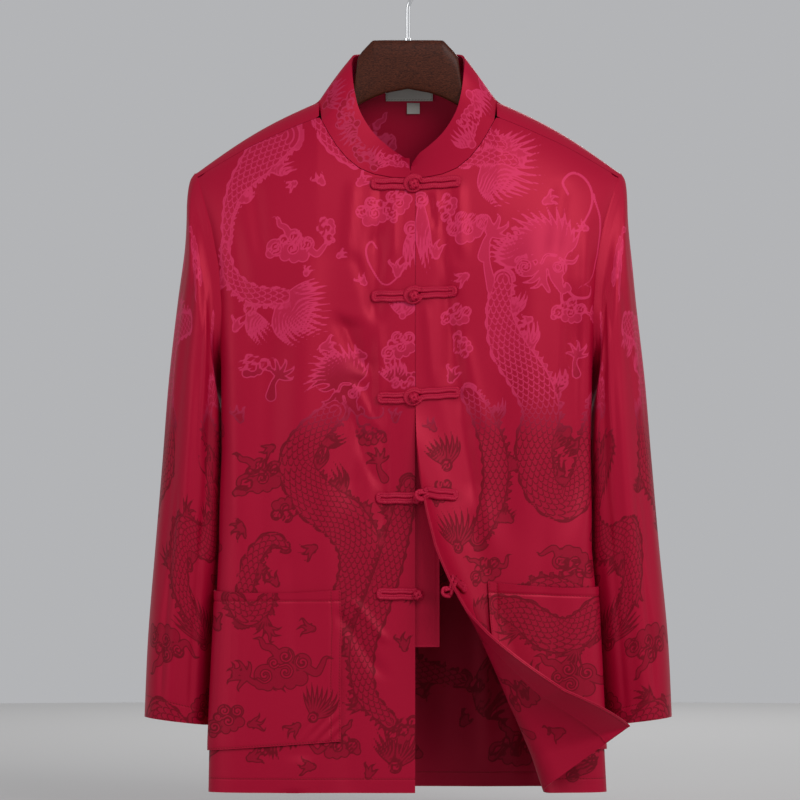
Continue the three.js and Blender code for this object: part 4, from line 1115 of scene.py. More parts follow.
            # flame-shaped fin on one side, scalloped edge on the other
            tooth = 6.5 * (1 - np.mod(s / 7.5 - d * 0.04, 1)) + 0.4
            tooth = np.minimum(tooth, r * 0.8) - (d - r)
            wave = 1.6 + 0.9 * np.sin(s * 0.42) - (d - r)
            trim = np.where(way * spikes > 0, tooth, wave)
            trim = np.where(deep > 0.2, 1.1 - deep, trim)
            fill[near] = np.maximum(fill[near], np.minimum(trim, 1.2))
            fill[near] = np.where(deep > 1.4, np.minimum(fill[near], 1.1 - deep), fill[near])
        shape = u.shape
        return {
            "figure": np.clip(fill, OUTSIDE, -OUTSIDE).reshape(shape),
            "scaled": np.clip(inside, OUTSIDE, SCALED_MOST).reshape(shape),
            "along": along.reshape(shape),
            "across": across.reshape(shape),
        }


def nearest_on(line, place, room):
    """Nearest points on a line of x, y, radius, for the places within room of it."""
    reach = line[:, 2].max() + room
    low = line[:, :2].min(0) - reach
    high = line[:, :2].max(0) + reach
    near = np.nonzero(((place > low) & (place < high)).all(1))[0]
    if not len(near):
        return near, None, None, None, None
    p = place[near][:, None]
    a = line[:-1, :2][None]
    step = (line[1:, :2] - line[:-1, :2])[None]
    size = np.maximum((step**2).sum(-1), 1e-9)
    t = np.clip(((p - a) * step).sum(-1) / size, 0, 1)
    gap = p - a - step * t[..., None]
    radius = line[:-1, 2] + (line[1:, 2] - line[:-1, 2]) * t
    d = np.sqrt((gap**2).sum(-1))
    best = np.argmin(d - radius, 1)
    n = np.arange(len(near))
    lengths = np.sqrt(size[0])
    start = np.concatenate([[0], np.cumsum(lengths)[:-1]])
    s = start[best] + t[n, best] * lengths[best]
    turn = step[0, best, 0] * gap[n, best, 1] - step[0, best, 1] * gap[n, best, 0]
    return near, d[n, best], radius[n, best], s, np.sign(turn)


trial = Figures({"cloud": [(0, 0, 8)], "claw": [(40, 0, 16)]})
print("a cloud and a foot take", len(trial.strokes), "strokes and", len(trial.cuts), "cut lines")

# %% [markdown]
# The layout follows how such cloth is set out: a dragon winds over each front, its tail flares at
# the shoulder, and clouds and feet fill the ground. Figures are placed in millimetres from the
# shirt's middle and from the hook, so that pockets and fronts match where the real ones do.

# %% Layout of the figures
# flame: x, y, size, turn. cloud: x, y, size, turn, flip, tails. body: points, radii, fin side.
# fan: x, y, turn, length, spread, count, bend, thickness, root. claw, head: x, y, size, turn.
FRONT_RIGHT_FIGURES = {
    "flame": [
        (-70, -250, 18, 30), (-28, -350, 20, 80), (-110, -250, 16, 120), (-206, -410, 18, 60),
        (-110, -430, 20, 10), (-64, -440, 18, 160), (-200, -510, 20, 100), (-164, -540, 18, 200),
        (-206, -590, 18, 20), (-30, -510, 16, 80), (-118, -650, 20, 200), (-160, -690, 18, 120),
        (-60, -610, 14, 90), (-118, -780, 20, 30), (-208, -770, 20, 80), (-190, -880, 22, 10),
        (-120, -890, 20, 170), (-60, -900, 18, 60), (-20, -760, 20, 90), (-14, -700, 14, 270),
        (-140, -250, 14, 200), (-64, -360, 14, 120), (-128, -350, 12, 60), (-92, -330, 12, 20),
    ],
    "body": [
        ([(-154, -196), (-184, -228), (-206, -258), (-215, -290), (-217, -318)],
         (19, 18, 11, 6, 4), 1),
        ([(-218, -318), (-212, -350), (-186, -372), (-152, -374)], (4, 8, 10, 8), -1),
        ([(-112, -178), (-98, -205), (-84, -222), (-74, -230)], (9, 11, 7, 3), 1),
        ([(-96, -500), (-124, -528), (-138, -560), (-118, -596), (-84, -622), (-68, -656),
          (-76, -696), (-98, -730)], (12, 16, 20, 24, 25, 23, 20, 16), 1),
        ([(-196, -700), (-186, -662), (-166, -640), (-150, -648)], (9, 10, 8, 5), -1),
        ([(-14, -580), (-24, -622), (-36, -668), (-52, -716), (-66, -760), (-62, -810),
          (-36, -840)], (9, 12, 14, 15, 14, 12, 8), -1),
    ],
    "cloud": [
        (-20, -850, 8, 40, -1, False), (-104, -300, 6, 100, 1, False), (-143, -322, 10.5, 0, 1),
        (-52, -283, 9, 12, -1, False), (-26, -272, 8, 60, 1, False), (-24, -430, 8.5, 30, 1, False),
        (-12, -466, 6, 200, 1, False), (-186, -452, 7.5, 10, -1, False), (-176, -574, 11, 20, 1),
        (-150, -606, 8, 200, 1, False), (-58, -528, 7, 0, -1, False), (-178, -770, 12, -8, 1),
        (-92, -868, 9, 0, -1),
    ],
    "fan": [
        (-156, -378, -38, 62, 150, 17, 30, 2.4, 0.2), (-190, -388, -70, 44, 70, 7, 22, 2.0, 0.2),
        (-12, -300, -95, 46, 40, 5, 12, 1.8, 0.25), (-22, -396, 80, 26, 120, 8, 20, 1.9, 0.2),
        (-30, -470, 92, 30, 110, 8, 22, 2.2, 0.25), (-30, -890, 80, 50, 120, 11, 25, 2.2, 0.2),
    ],
    "whisker": [
        ([(-50, -322), (-56, -314), (-62, -322), (-58, -340), (-40, -362), (-18, -342),
          (-4, -318)],),
    ],
    "claw": [
        (-158, -462, 19, 60), (-196, -628, 16, 200, False), (-48, -556, 16, 100),
        (-128, -744, 17, -20),
    ],
    "head": [(-84, -478, 26, -58, 1), (-150, -850, 20, 20, 1)],
}
FRONT_LEFT_FIGURES = {
    "flame": [
        (30, -330, 20, 80), (150, -270, 18, 20), (208, -400, 18, 100), (64, -352, 18, 200),
        (46, -466, 20, 60), (176, -520, 18, 250), (112, -620, 20, 140), (40, -700, 20, 80),
        (206, -640, 18, 40), (150, -770, 18, 300), (66, -880, 22, 10), (216, -860, 20, 120),
        (120, -800, 18, 200), (26, -790, 18, 100), (122, -214, 16, -60), (196, -300, 14, 150),
        (134, -400, 14, 180), (28, -520, 16, 120),
    ],
    "body": [
        ([(60, -228), (76, -222), (98, -220), (116, -226)], (5, 8, 9, 7), 1),
        ([(76, -186), (92, -200), (104, -208)], (4, 8, 6), 1),
        ([(104, -356), (100, -392), (110, -430), (134, -468), (146, -502), (138, -540),
          (146, -584), (172, -602), (196, -576), (204, -532), (210, -490)],
         (10, 14, 20, 21, 20, 20, 19, 18, 17, 14, 9), 1),
        ([(66, -480), (84, -512), (96, -556), (92, -600), (76, -640)], (8, 12, 14, 13, 8), 1),
        ([(110, -740), (140, -700), (180, -706), (206, -744), (196, -800), (160, -840)],
         (10, 15, 18, 18, 15, 10), 1),
    ],
    "cloud": [
        (66, -300, 10, 20, -1, False), (44, -276, 6.5, 80, 1, False), (178, -392, 8, 0, 1, False),
        (54, -396, 7, 10, 1, False), (60, -428, 6, 120, -1, False), (36, -590, 7, 40, 1, False),
        (184, -666, 11, 160, 1), (86, -676, 8, 30, 1), (176, -780, 10, 0, 1), (60, -830, 10, 0, -1),
    ],
    "fan": [
        (86, -222, -32, 66, 165, 18, 30, 2.4, 0.2), (14, -268, -88, 78, 26, 6, 10, 2.4, 0.15),
        (128, -342, 120, 50, 110, 12, 25, 2.6, 0.3), (42, -560, 98, 40, 110, 9, 20, 2.2, 0.22),
        (52, -650, 92, 48, 120, 10, 22, 2.2, 0.2), (180, -900, 70, 50, 120, 11, 25, 2.2, 0.2),
    ],
    "stroke": [([(88, -306), (86, -335), (92, -366)], (2.4, 4, 6), 12)],
    "whisker": [
        ([(176, -262), (170, -248), (182, -238), (198, -248), (204, -270), (190, -300),
          (178, -330)], 1.4),
        ([(206, -262), (214, -300), (206, -350), (186, -366)], 1.2),
    ],
    "claw": [(91, -306, 21, 62), (186, -440, 16, 80), (116, -556, 14, 200), (110, -850, 17, 40)],
    "head": [(156, -338, 31, -62, 1), (76, -742, 24, 30, -1)],
}
BACK_FIGURES = {
    "body": [
        ([(150, -250), (96, -240), (40, -280), (20, -350), (60, -410), (120, -450), (130, -520),
          (80, -580), (10, -600), (-50, -650), (-60, -720), (-10, -780), (60, -800)],
         (8, 14, 20, 23, 24, 24, 23, 24, 24, 22, 20, 15, 8), 1),
        ([(-170, -400), (-120, -360), (-90, -400), (-110, -470), (-160, -520), (-150, -590)],
         (6, 12, 18, 19, 17, 9), -1),
    ],
    "head": [(172, -272, 30, -20, 1), (-176, -404, 27, 200, -1)],
    "fan": [(74, -806, -10, 62, 150, 16, 28, 2.4, 0.2), (-150, -600, -80, 55, 150, 15, 28, 2.4, 0.2)],
    "cloud": [
        (-110, -260, 12, 10, -1), (-30, -470, 12, 40, -1), (180, -560, 12, 0, 1),
        (150, -680, 12, 20, 1), (-160, -700, 12, -10, -1), (-130, -850, 12, 12, -1),
        (120, -880, 11, 0, 1), (-10, -890, 10, 30, -1), (-40, -200, 10, 0, -1),
        (210, -400, 10, 0, 1), (-230, -300, 10, 20, -1), (236, -760, 11, 20, 1),
        (-236, -620, 11, 60, -1), (-236, -820, 11, 10, -1), (236, -880, 9, 0, 1),
    ],
    "flame": [
        (-225 + 50 * (k % 10) + 12 * (k // 10), -250 - 175 * (k // 10) - 37 * (k % 3), 20, 63 * k)
        for k in range(40)
    ],
    "claw": [
        (-40, -330, 20, 150), (186, -470, 18, 30), (30, -690, 20, 200), (-196, -480, 17, 90),
        (90, -340, 17, -30),
    ],
}


def front_figures(side):
    """A front's own table, and what it has at its side, where it turns to the seam."""
    f = Figures(FRONT_RIGHT_FIGURES if side < 0 else FRONT_LEFT_FIGURES)
    for k, v in enumerate((-500, -640, -780)):
        f.cloud(side * 246, v + 20 * side, 9, 40 * k, side)
    f.fan(side * 240, -570, 90 - side * 20, 46, 110, 10, 24, 2.2, 0.2)
    f.fan(side * 246, -880, 90 + side * 20, 46, 110, 10, 24, 2.2, 0.2)
    return f


def pocket_figures(side):
    f = Figures()
    for k in range(7):
        x = side * (104 + 17 * k)
        f.flame(x, -738 - 53 * ((k * 2) % 3), 19, 50 * k, side)
    if side < 0:
        f.body([(-190, -706), (-176, -724), (-160, -716), (-150, -700)], (9, 12, 10, 6), -1)
        f.cloud(-134, -786, 13, 12, 1)
        f.claw(-176, -792, 20, 150)
        f.cloud(-196, -840, 9, 30, 1, False)
        f.fan(-104, -836, 60, 40, 110, 10, 24, 2.2, 0.2)
    else:
        f.body([(98, -712), (124, -722), (156, -744), (184, -742), (206, -716)], (10, 17, 20, 18, 12), -1)
        f.claw(98, -716, 15, 170)
        f.cloud(178, -800, 13, 20, 1)
        f.fan(116, -836, 70, 42, 110, 10, 24, 2.2, 0.2)
    return f


def sleeve_figures(side):
    """Places are round the sleeve from the underarm seam over the front, and down from the top."""
    f = Figures()
    f.body([(92, 20), (70, 50), (60, 90), (88, 120), (96, 150)], (6, 12, 14, 10, 5), side)
    f.cloud(62, 60 + 20 * side, 9, 20, side)
    f.head(80, 190, 26, -100, side)
    f.fan(70, 176, 60, 48, 120, 12, 24, 2.3, 0.2)
    tail = [(84, 214), (52, 250), (70, 300), (112, 330), (96, 380), (56, 410)]
    f.body(tail, (9, 14, 17, 17, 14, 8), side)
    f.fan(52, 422, -70, 56, 150, 15, 28, 2.4, 0.2)
    f.cloud(100, 446, 11, 10, side)
    f.claw(30, 320, 18, 200)
    f.fan(92, 350, -60, 50, 120, 12, 26, 2.3, 0.2)
    f.body([(40, 590), (62, 540), (96, 520), (110, 560), (92, 600)], (8, 13, 14, 12, 7), -side)
    f.cloud(40, 500, 9, 60, -side)
    for k in range(12):
        f.flame(18 + 82 * ((k * 3) % 4), 40 + 50 * k, 20, 65 * k, side)
    for k in range(5):
        f.cloud(190 + 46 * (k % 2), 60 + 120 * k, 11, 40 * k, (-1) ** k)
        f.fan(236 - 46 * (k % 2), 110 + 120 * k, 90 * k, 44, 130, 12, 26, 2.3, 0.2)
    behind = [(180, 130), (220, 180), (200, 240), (170, 290), (200, 350), (240, 400), (210, 460)]
    f.body(behind + [(180, 520)], (8, 14, 16, 16, 16, 15, 13, 8), side)
    return f


def band_figures():
    """The collar: a row of clouds and tufts along the band."""
    f = Figures()
    for k in range(9):
        f.cloud(22 + 52 * k, 24 + 6 * (-1) ** k, 7, 25 * k, (-1) ** k, k % 2 == 0)
        f.fan(50 + 52 * k, 8 + 30 * (k % 2), 90 + 180 * (k % 2), 34, 110, 8, 22, 1.9, 0.2)
    return f


print("figures are ready")


# %% [markdown]
# Now the pieces are made. Each cloth piece gets two numbers per point, its place across and along
# the cloth in millimetres, so that weave, figures and stitches follow the cloth and not the room.

# %% Body panels
FAR = 9.0  # stitch distances are held below this, in mm
# painted light: the figures get painted shade below this height and a painted highlight above it
FIGURES_PAINTED_SHADE_Z = -535  # figures are dark below this height, and light PAINTED_LIGHT_FADE above it
PAINTED_LIGHT_FADE = 120
FRONT_HEM = 7  # rows from the hem's edge to its stitches, in front and behind
BACK_HEM = 4
pieces = {}


def keep(piece, slot, *nodes):
    """Puts a piece on the object's one body, in place of its solids."""
    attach(piece, "root")
    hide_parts(*nodes)
    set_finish(piece, slot)
    pieces[piece.name] = piece
    return piece


def cloth_values(u, v, stitch=None, figures=None, heights=None, drawn=None):
    """Numbers the cloth's material reads. heights says how far down each point hangs, which sets the
    painted highlight and painted shade of the figures, and drawn replaces u for the figures."""
    values = {"cloth_u": u, "cloth_v": v}
    values["stitch"] = np.full(u.shape, FAR) if stitch is None else stitch
    values.update((figures or Figures()).distances(u if drawn is None else drawn, v))
    heights = v if heights is None else heights
    # painted light by height alone: 0 gives the figures painted shade, 1 gives them a painted highlight
    values["light"] = np.clip((heights - FIGURES_PAINTED_SHADE_Z) / PAINTED_LIGHT_FADE, 0, 1)
    return values


def nearest_line(*distances):
    """Distance to the nearest of several stitch lines."""
    return np.minimum(np.minimum.reduce([np.abs(d) for d in distances]), FAR)


for name, side, (grid, length, heights, drawn) in (
    ("front_right", -1, right_front),
    ("front_left", 1, left_front),
):
    hem = nearest_line(heights - heights[FRONT_HEM])
    u = side * (length + FRONT_X)
    fabric = cloth_values(u, heights, hem, front_figures(side), drawn=drawn)
    keep(shell(name + "_cloth", grid, WALL, False, 2, fabric, side), "satin", name)

back_walk = np.concatenate([
    np.zeros((len(back_grid), 1)),
    np.cumsum(np.linalg.norm(np.diff(back_grid, axis=1), axis=2), 1),
], 1)
back_u = back_walk - back_walk[:, back_grid.shape[1] // 2][:, None]
back_drop = np.linalg.norm(np.diff(back_grid, axis=0), axis=2)
back_v = HEM_Z + np.concatenate([np.zeros((1, back_grid.shape[1])), np.cumsum(back_drop, 0)])
hem = nearest_line(back_v - back_v[BACK_HEM])
fabric = cloth_values(back_u, back_v, hem, Figures(BACK_FIGURES))
keep(shell("back_cloth", back_grid, WALL, False, 1, fabric, -1), "satin", "back")

# %% [markdown]
# A sleeve's cloth is measured round from the underarm seam and down from the armhole, so that its
# figures and the cuff's stitches follow it.

# %% Sleeve pieces
FRONT_OF_RING = 52  # the point of a ring that lies in front
CUFF_HEM = 11  # rows from the cuff's edge to its stitches

for name, grid, side in (("sleeve_right", right_sleeve, -1), ("sleeve_left", left_sleeve, 1)):
    ring_step = np.linalg.norm(np.roll(grid, -1, 1) - grid, axis=2)
    around = np.concatenate([np.zeros((len(grid), 1)), np.cumsum(ring_step, 1)[:, :-1]], 1)
    down = walked_along(grid[:, FRONT_OF_RING])
    v = np.broadcast_to(down[:, None], around.shape)
    stitches = nearest_line(v - down[-CUFF_HEM])
    fabric = cloth_values(around, v, stitches, sleeve_figures(side), grid[..., 2])
    keep(shell(name + "_cloth", grid, WALL, True, 2, fabric, -side), "satin", name)

# %% [markdown]
# The collar band's figures get painted shade on the wearer's right, where it leans away from the light:
# that half is given a height at which figures and ground have nearly one tone.

# %% Collar piece
COLLAR_PAINTED_SHADE_Z = -494.0
band_shape = collar_points.shape[:2]
collar_u = np.broadcast_to(walked_along(collar_points[0]), band_shape)
collar_v = np.broadcast_to(np.linspace(0, BAND_HIGH, COLLAR_ROWS)[:, None], band_shape)
# painted shade: the wearer's right half of the band takes the height of the shaded lower body
lit = ease((collar_points[..., 0] + 40) / 40)
collar_painted_shade_height = mix(COLLAR_PAINTED_SHADE_Z, collar_points[..., 2], lit)
fabric = cloth_values(collar_u, collar_v, None, band_figures(), collar_painted_shade_height)
band = shell("collar_band", collar_points, COLLAR_WALL, False, 2, fabric, -1)
keep(band, "satin", "collar")

# %% [markdown]
# Patches lie on a front: the pockets outside, the facing inside. They are made from the same
# function as the front under them, and moved off along its normal, so they keep its folds.

# %% Patches on the fronts
def patch(side, lengths, heights, off):
    """Grid of points that follow a front, moved off by off (plus is outside)."""
    length = np.broadcast_to(lengths, heights.shape)
    grid = front_point(side, length, heights)
    normals = grid_normals(grid) * side
    return grid + normals * np.asarray(off)[..., None]


POCKET_OUT = 2.8  # how far a pocket lies outside the front
POCKET_WALL = 1.4
POCKET_SEAM = 10.5  # stitches beside the inner edge, below the mouth, and along the other edges
MOUTH_SEAM = 12
EDGE_SEAM = 1.6
# side, start and width, height of the mouth's two ends, height of the foot's two ends
POCKETS = {
    "right": (-1, 82, 152, -696, -697, -862, -873),
    "left": (1, 79, 150, -687, -693, -868, -872),
}
for key, (side, start, wide, top1, top2, low1, low2) in POCKETS.items():
    share = np.linspace(0, 1, 141)
    up = np.linspace(0, 1, 161)[:, None]
    lengths = start + wide * share[None] + np.zeros_like(up)
    heights = mix(mix(low1, low2, share), mix(top1, top2, share), up)
    # corners are a little rounded and the mouth sags between its two ends
    heights = heights - 3.2 * np.sin(share * math.pi) * up**3
    inner = lengths - start
    outer = start + wide - lengths
    below = heights - np.minimum(mix(low1, low2, share), -100)
    top_line = mix(top1, top2, share) - heights
    # the folded edges are thicker, and the seams sink in between them
    off = POCKET_OUT + 0.5 * ease(1 - inner / 11) + 0.5 * ease(1 - top_line / 13)
    off = off - 0.5 * np.exp(-((inner - POCKET_SEAM) ** 2) / 2)
    off = off - 0.5 * np.exp(-((top_line - MOUTH_SEAM) ** 2) / 2)
    pucker = np.sin((inner + below) * 0.42) * np.exp(-((inner - 14) ** 2 + (below - 14) ** 2) / 500)
    off = off + 0.7 * pucker
    off = off + 1.2 * np.sin(share * math.pi) * up**6
    grid = patch(side, lengths, heights, off)
    stitches = nearest_line(
        inner - POCKET_SEAM, top_line - MOUTH_SEAM,
        inner - EDGE_SEAM, outer - EDGE_SEAM, below - EDGE_SEAM,
    )
    x = on_row(side, -1, heights.ravel(), lengths.ravel())[0].reshape(heights.shape)
    place = side * (lengths + FRONT_X)
    fabric = cloth_values(place, heights, stitches, pocket_figures(side), drawn=x)
    piece = shell("pocket_" + key + "_cloth", grid, POCKET_WALL, False, 2, fabric, side)
    keep(piece, "satin", "pocket_" + key)

# %% [markdown]
# The facing is a narrow strip inside the left front's edge, seen where the corner is turned back.
# The underlap is a straight strip that hangs behind the opening.

# %% Facing and underlap
lengths, heights = np.meshgrid(np.linspace(0.5, 33, 19), np.linspace(-917.6, -500, 201))
grid = patch(1, lengths, heights, np.full(heights.shape, -1.6))
stitches = nearest_line(lengths - 30.5, lengths - 2)
fabric = cloth_values(lengths + 200, heights, stitches)
facing = shell("front_facing_cloth", grid, 1.0, False, 2, fabric, -1)
keep(facing, "satin", "front_left_facing")

LAP_FROM_X, LAP_TO_X = FRONT_X - 16.0, FRONT_X + 26.5
LAP_FOOT, LAP_TOP = -758.8, -252.0
LAP_BEHIND = 3.1  # how far it hangs behind the fronts
x, z = np.meshgrid(np.linspace(LAP_FROM_X, LAP_TO_X, 21), np.linspace(LAP_FOOT, LAP_TOP, 231))
grid = np.stack([x, depth_at(x, z, -1) + LAP_BEHIND, z], -1)
stitches = nearest_line(x - LAP_TO_X + 3, z - LAP_FOOT - 3)
underlap = shell("underlap_cloth", grid, 1.2, False, 2, cloth_values(x + 60, z, stitches), 1)
keep(underlap, "satin", "underlap")

# %% [markdown]
# Frogs are made of a satin cord, laid double and sewn down. One half ends in a knotted ball, the
# other in a loop. A cord is a tube whose section is set up on the cloth's own normal, so that it
# lies flat on the cloth over every fold.

# %% Cords
def tube(path, normals, wide, high, sides=16, closed=False, taper=0, groove=0):
    """A tube along a path; wide is its half width on the cloth, high its half height."""
    path = np.asarray(path, float)
    ahead = np.roll(path, -1, 0) - np.roll(path, 1, 0) if closed else np.gradient(path, axis=0)
    ahead = unit(ahead)
    across = unit(np.cross(ahead, normals))
    up = np.cross(across, ahead)
    n = len(path)
    size = np.ones(n)  # a tapered tube gets thin towards both ends
    if taper and not closed:
        k = np.arange(n)
        size = np.sqrt(np.clip(np.minimum(k, n - 1 - k) / taper, 0.02, 1))
    a = np.arange(sides) / sides * 2 * math.pi
    tall = high * np.sin(a) * (1 - groove * np.exp(-((np.cos(a) / 0.3) ** 2)))
    ring = (
        path[:, None]
        + across[:, None] * (wide * np.cos(a))[None, :, None] * size[:, None, None]
        + up[:, None] * tall[None, :, None] * size[:, None, None]
    )
    index = np.arange(n * sides).reshape(n, sides)
    if closed:
        index = np.concatenate([index, index[:1]])
    faces = grid_quads(index, True).tolist()
    if not closed:
        faces += [index[0][::-1].tolist(), index[-1].tolist()]
    values = (np.repeat(walked_along(path), sides), np.tile(a * (wide + high) / 2, n))
    return ring.reshape(-1, 3), faces, values


def join_parts(name, parts):
    """One mesh from several tubes, with the place round and along each."""
    points = []
    faces = []
    us = []
    vs = []
    count = 0
    for p, f, (u, v) in parts:
        points.append(p)
        faces += [[i + count for i in face] for face in f]
        us.append(u)
        vs.append(v)
        count += len(p)
    obj = make_mesh(name, np.concatenate(points), faces, 50)
    add_values(obj, cloth_u=np.concatenate(us), cloth_v=np.concatenate(vs))
    return obj


def smooth_path(points, count):
    """A smooth curve through a few points, with evenly spaced points."""
    points = np.asarray(points, float)
    walk = walk_share(points)
    goal = np.linspace(0, 1, len(points) * 12)
    return resample(np.stack([glide(walk, points[:, k], goal) for k in range(3)], -1), count)


def on_cloth(side, length, z, off):
    """Points off the outside of a front, and the normals there."""
    length = np.asarray(length, float)
    z = np.asarray(z, float)
    p = front_point(side, length, z)
    dl = front_point(side, length + 1, z) - front_point(side, length - 1, z)
    dz = front_point(side, length, z + 1) - front_point(side, length, z - 1)
    n = unit(np.cross(dl, dz)) * side
    return p + n * off, n


# %% [markdown]
# There are five frogs. The upper three are shut, so their loops go round the balls. The lower two
# are open: the corner is turned back there, and each loop's end hangs free of its ball.

# %% Frogs
CORD_HALF = 3.25
CORD_HIGH = 2.2
CORD_OFF = WALL / 2 + CORD_HIGH - 0.15
CORD_SIDES = 28
CORD_GROOVE = 0.4
BALL = 12.4
# the loop's end beside the knot's neck where a frog is shut, and on its own where it is open
BIGHT_SHUT = [
    (5.5, 5.2), (0.5, 7.4), (-5.5, 6.2), (-8.6, 1.0), (-5.5, -5.2), (0.5, -7.0), (5.5, -4.8),
]
BIGHT_OPEN = [
    (-3, 3.4), (-7, 3.9), (-10.5, 2.4), (-11.6, 0), (-10.5, -2.4), (-7, -3.9), (-3, -3.4),
]
# knot height, knot length, loop height, loop length, rise, shut
FROGS = [
    (-251, 38, -249.5, 41, 2.5, True),
    (-374, 38, -369.5, 39, 1.5, True),
    (-485.5, 31, -480.5, 40, 3, True),
    (-595.5, 40, -592, 40, 0, False),
    (-700.5, 38, -697, 40, 0, False),
]


def strip_path(start, long, z0, rise, gap):
    """Length and height along a doubled cord: out, round the end, and back."""
    out = np.linspace(start, start + long - gap, 30)
    a = np.linspace(math.pi / 2, -math.pi / 2, 17)[1:-1]
    bend = gap * np.cos(a) ** 0.6
    length = np.concatenate([out, start + long - gap + bend, out[::-1]])
    turn = gap * np.sign(np.sin(a)) * np.abs(np.sin(a)) ** 0.6
    lift = np.concatenate([np.full(30, gap), turn, np.full(30, -gap)])
    # the two cords run a little uneven, as sewn by hand
    wave = 0.25 * np.sin(length * 0.31 + z0)
    height = z0 + lift + wave + rise * ((length - start) / long - 0.5)
    return length, height


def ball_parts(centre, radius):
    """A knotted ball: one cord laid three times round it, over and under itself."""
    t = np.linspace(0, 2 * math.pi, 181)[:-1]
    lon = 3 * t
    lat = math.radians(52) * np.sin(4 * t)
    r = radius - 2.1 + 0.55 * np.cos(8 * t)
    local = np.stack([
        np.cos(lat) * np.cos(lon),
        np.sin(lat),
        np.cos(lat) * np.sin(lon),
    ], -1)
    path = centre + local * r[:, None]
    cord = tube(path, local, 2.0, 1.6, 10, True)
    # a small core fills the middle of the knot
    a = np.linspace(0, math.pi, 11)[1:-1]
    b = np.linspace(0, 2 * math.pi, 19)[:-1]
    core = []
    for lat_c in a:
        for lon_c in b:
            core.append((
                math.sin(lat_c) * math.cos(lon_c),
                math.cos(lat_c),
                math.sin(lat_c) * math.sin(lon_c),
            ))
    core = centre + np.array(core) * (radius - 3.0)
    index = np.arange(len(core)).reshape(len(a), len(b))
    faces = grid_quads(index, True).tolist() + [index[0][::-1].tolist(), index[-1].tolist()]
    zeros = np.zeros(len(core))
    return [cord, (core, faces, (zeros, zeros))]


for k, (knot_z, knot_long, loop_z, loop_long, rise, shut) in enumerate(FROGS, 1):
    ball_x = 6.4 if shut else 11.4
    ball_y = float(depth_at(FRONT_X, knot_z, -1, False)) - BALL / 2 - 1.4
    centre = np.array([ball_x, ball_y, knot_z - (0 if shut else 1)])
    gap = CORD_HALF + 0.05
    # the knot half, whose two ends go into the ball
    knot_from = 6.2 if shut else -0.5
    length, height = strip_path(knot_from, knot_long + 2, knot_z, 0, gap)
    path, normals = on_cloth(-1, length, height, CORD_OFF)
    steps = np.linspace(0, 1, 9)[1:, None]
    first = mix(path[0], centre + np.array([-3.2, 1.5, 1.2]), steps)
    last = mix(path[-1], centre + np.array([-3.2, 1.5, -1.2]), steps)
    path = np.concatenate([first[::-1], path, last])
    ends = [np.repeat(normals[k:][:1], len(steps), 0) for k in (0, -1)]
    normals = np.concatenate([ends[0], normals, ends[1]])
    parts = [tube(path, normals, CORD_HALF, CORD_HIGH, CORD_SIDES, False, 3, CORD_GROOVE)]
    keep(join_parts(f"frog_cord_{k}", parts), "cord", f"frog_knot_{k}")
    keep(join_parts(f"frog_button_{k}", ball_parts(centre, BALL / 2)), "cord", f"frog_ball_{k}")
    # the loop half, whose end is a bight between its two cords
    loop_from = 6.2 if shut else 3
    length, height = strip_path(loop_from, loop_long, loop_z, rise, gap)
    path, normals = on_cloth(1, length, height, CORD_OFF + (0 if shut else 0.5))
    if shut:
        bight = [
            (centre[0] + dx, centre[1] + 3.0, knot_z + dz + 0.15 * (dx + 8))
            for dx, dz in BIGHT_SHUT
        ]
    else:
        z1 = loop_z - rise / 2
        bight = [(path[0, 0] + dx, path[0, 1] + 0.25 * dx, z1 + dz) for dx, dz in BIGHT_OPEN]
    ring = resample(np.concatenate([path[:1], smooth_path(bight, 40), path[-1:]]), 60)
    # the path runs from the upper inner end to the lower one, and the bight goes back up
    flat = np.repeat(normals[:1], len(ring), 0)
    path = np.concatenate([path, ring[::-1]])[:-1]
    normals = np.concatenate([normals, flat])[:-1]
    parts = [tube(path, normals, CORD_HALF, CORD_HIGH, CORD_SIDES, True, 0, CORD_GROOVE)]
    keep(join_parts(f"frog_bight_{k}", parts), "cord", f"frog_loop_{k}")
print(len(pieces), "pieces so far")

# %% [markdown]
# The labels are blank woven tape, sewn inside the neck. The upper one follows the neck's bend.

# %% Labels
LABEL_WALL = 0.7
x, t = np.meshgrid(np.linspace(-24.5, 27.5, 41), np.linspace(1, 0, 21))
sag = 0.5 * np.sin(x * 0.21) * t
label_y = mix(32.4, 37.4, t) - x * x * 0.0032 + sag * 0.4
grid = np.stack([x, label_y, mix(-126, -156, t)], -1)
fabric = cloth_values(x, t * 30, nearest_line(x + 23.2, x - 26.2, t * 30 - 1.5, t * 30 - 28.5))
label = shell("label_neck_tape", grid, LABEL_WALL, False, 2, fabric, 1)
keep(label, "label", "label_neck")
x, t = np.meshgrid(np.linspace(-1, 13, 13), np.linspace(1, 0, 13))
grid = np.stack([x, 39.1 + 0.96 * t - 0.3 * np.sin(t * math.pi), mix(-158, -170, t)], -1)
tab = shell("label_size_tape", grid, LABEL_WALL, False, 2, cloth_values(x, t * 12), 1)
keep(tab, "label", "label_size")

# %% [markdown]
# The hanger is shaped walnut, thicker towards its ends, with a chrome wire hook that is screwed
# into its neck. Only its neck and hook are seen; its arms lie inside the shoulders.

# %% Hanger
# distance from the middle, height of the upper and the lower edge
WOOD = np.array([
    (0, -90, -144), (26, -90, -149), (39, -90.3, -154), (51, -103, -160), (56.5, -111, -164),
    (58, -133, -165.5), (66, -143, -172), (80, -155, -182), (100, -169, -196), (140, -190, -218),
    (180, -213.5, -241), (212, -232.5, -259), (221, -239, -257),
], float)
WOOD_END = 221.0
WOOD_SIDES = 40


def wood_line(ax, k):
    """The table's line with its corners a little rounded, as sanded wood has them."""
    spread = np.linspace(-1.6, 1.6, 9)
    return np.mean([np.interp(np.abs(ax + d), WOOD[:, 0], WOOD[:, k]) for d in spread], 0)


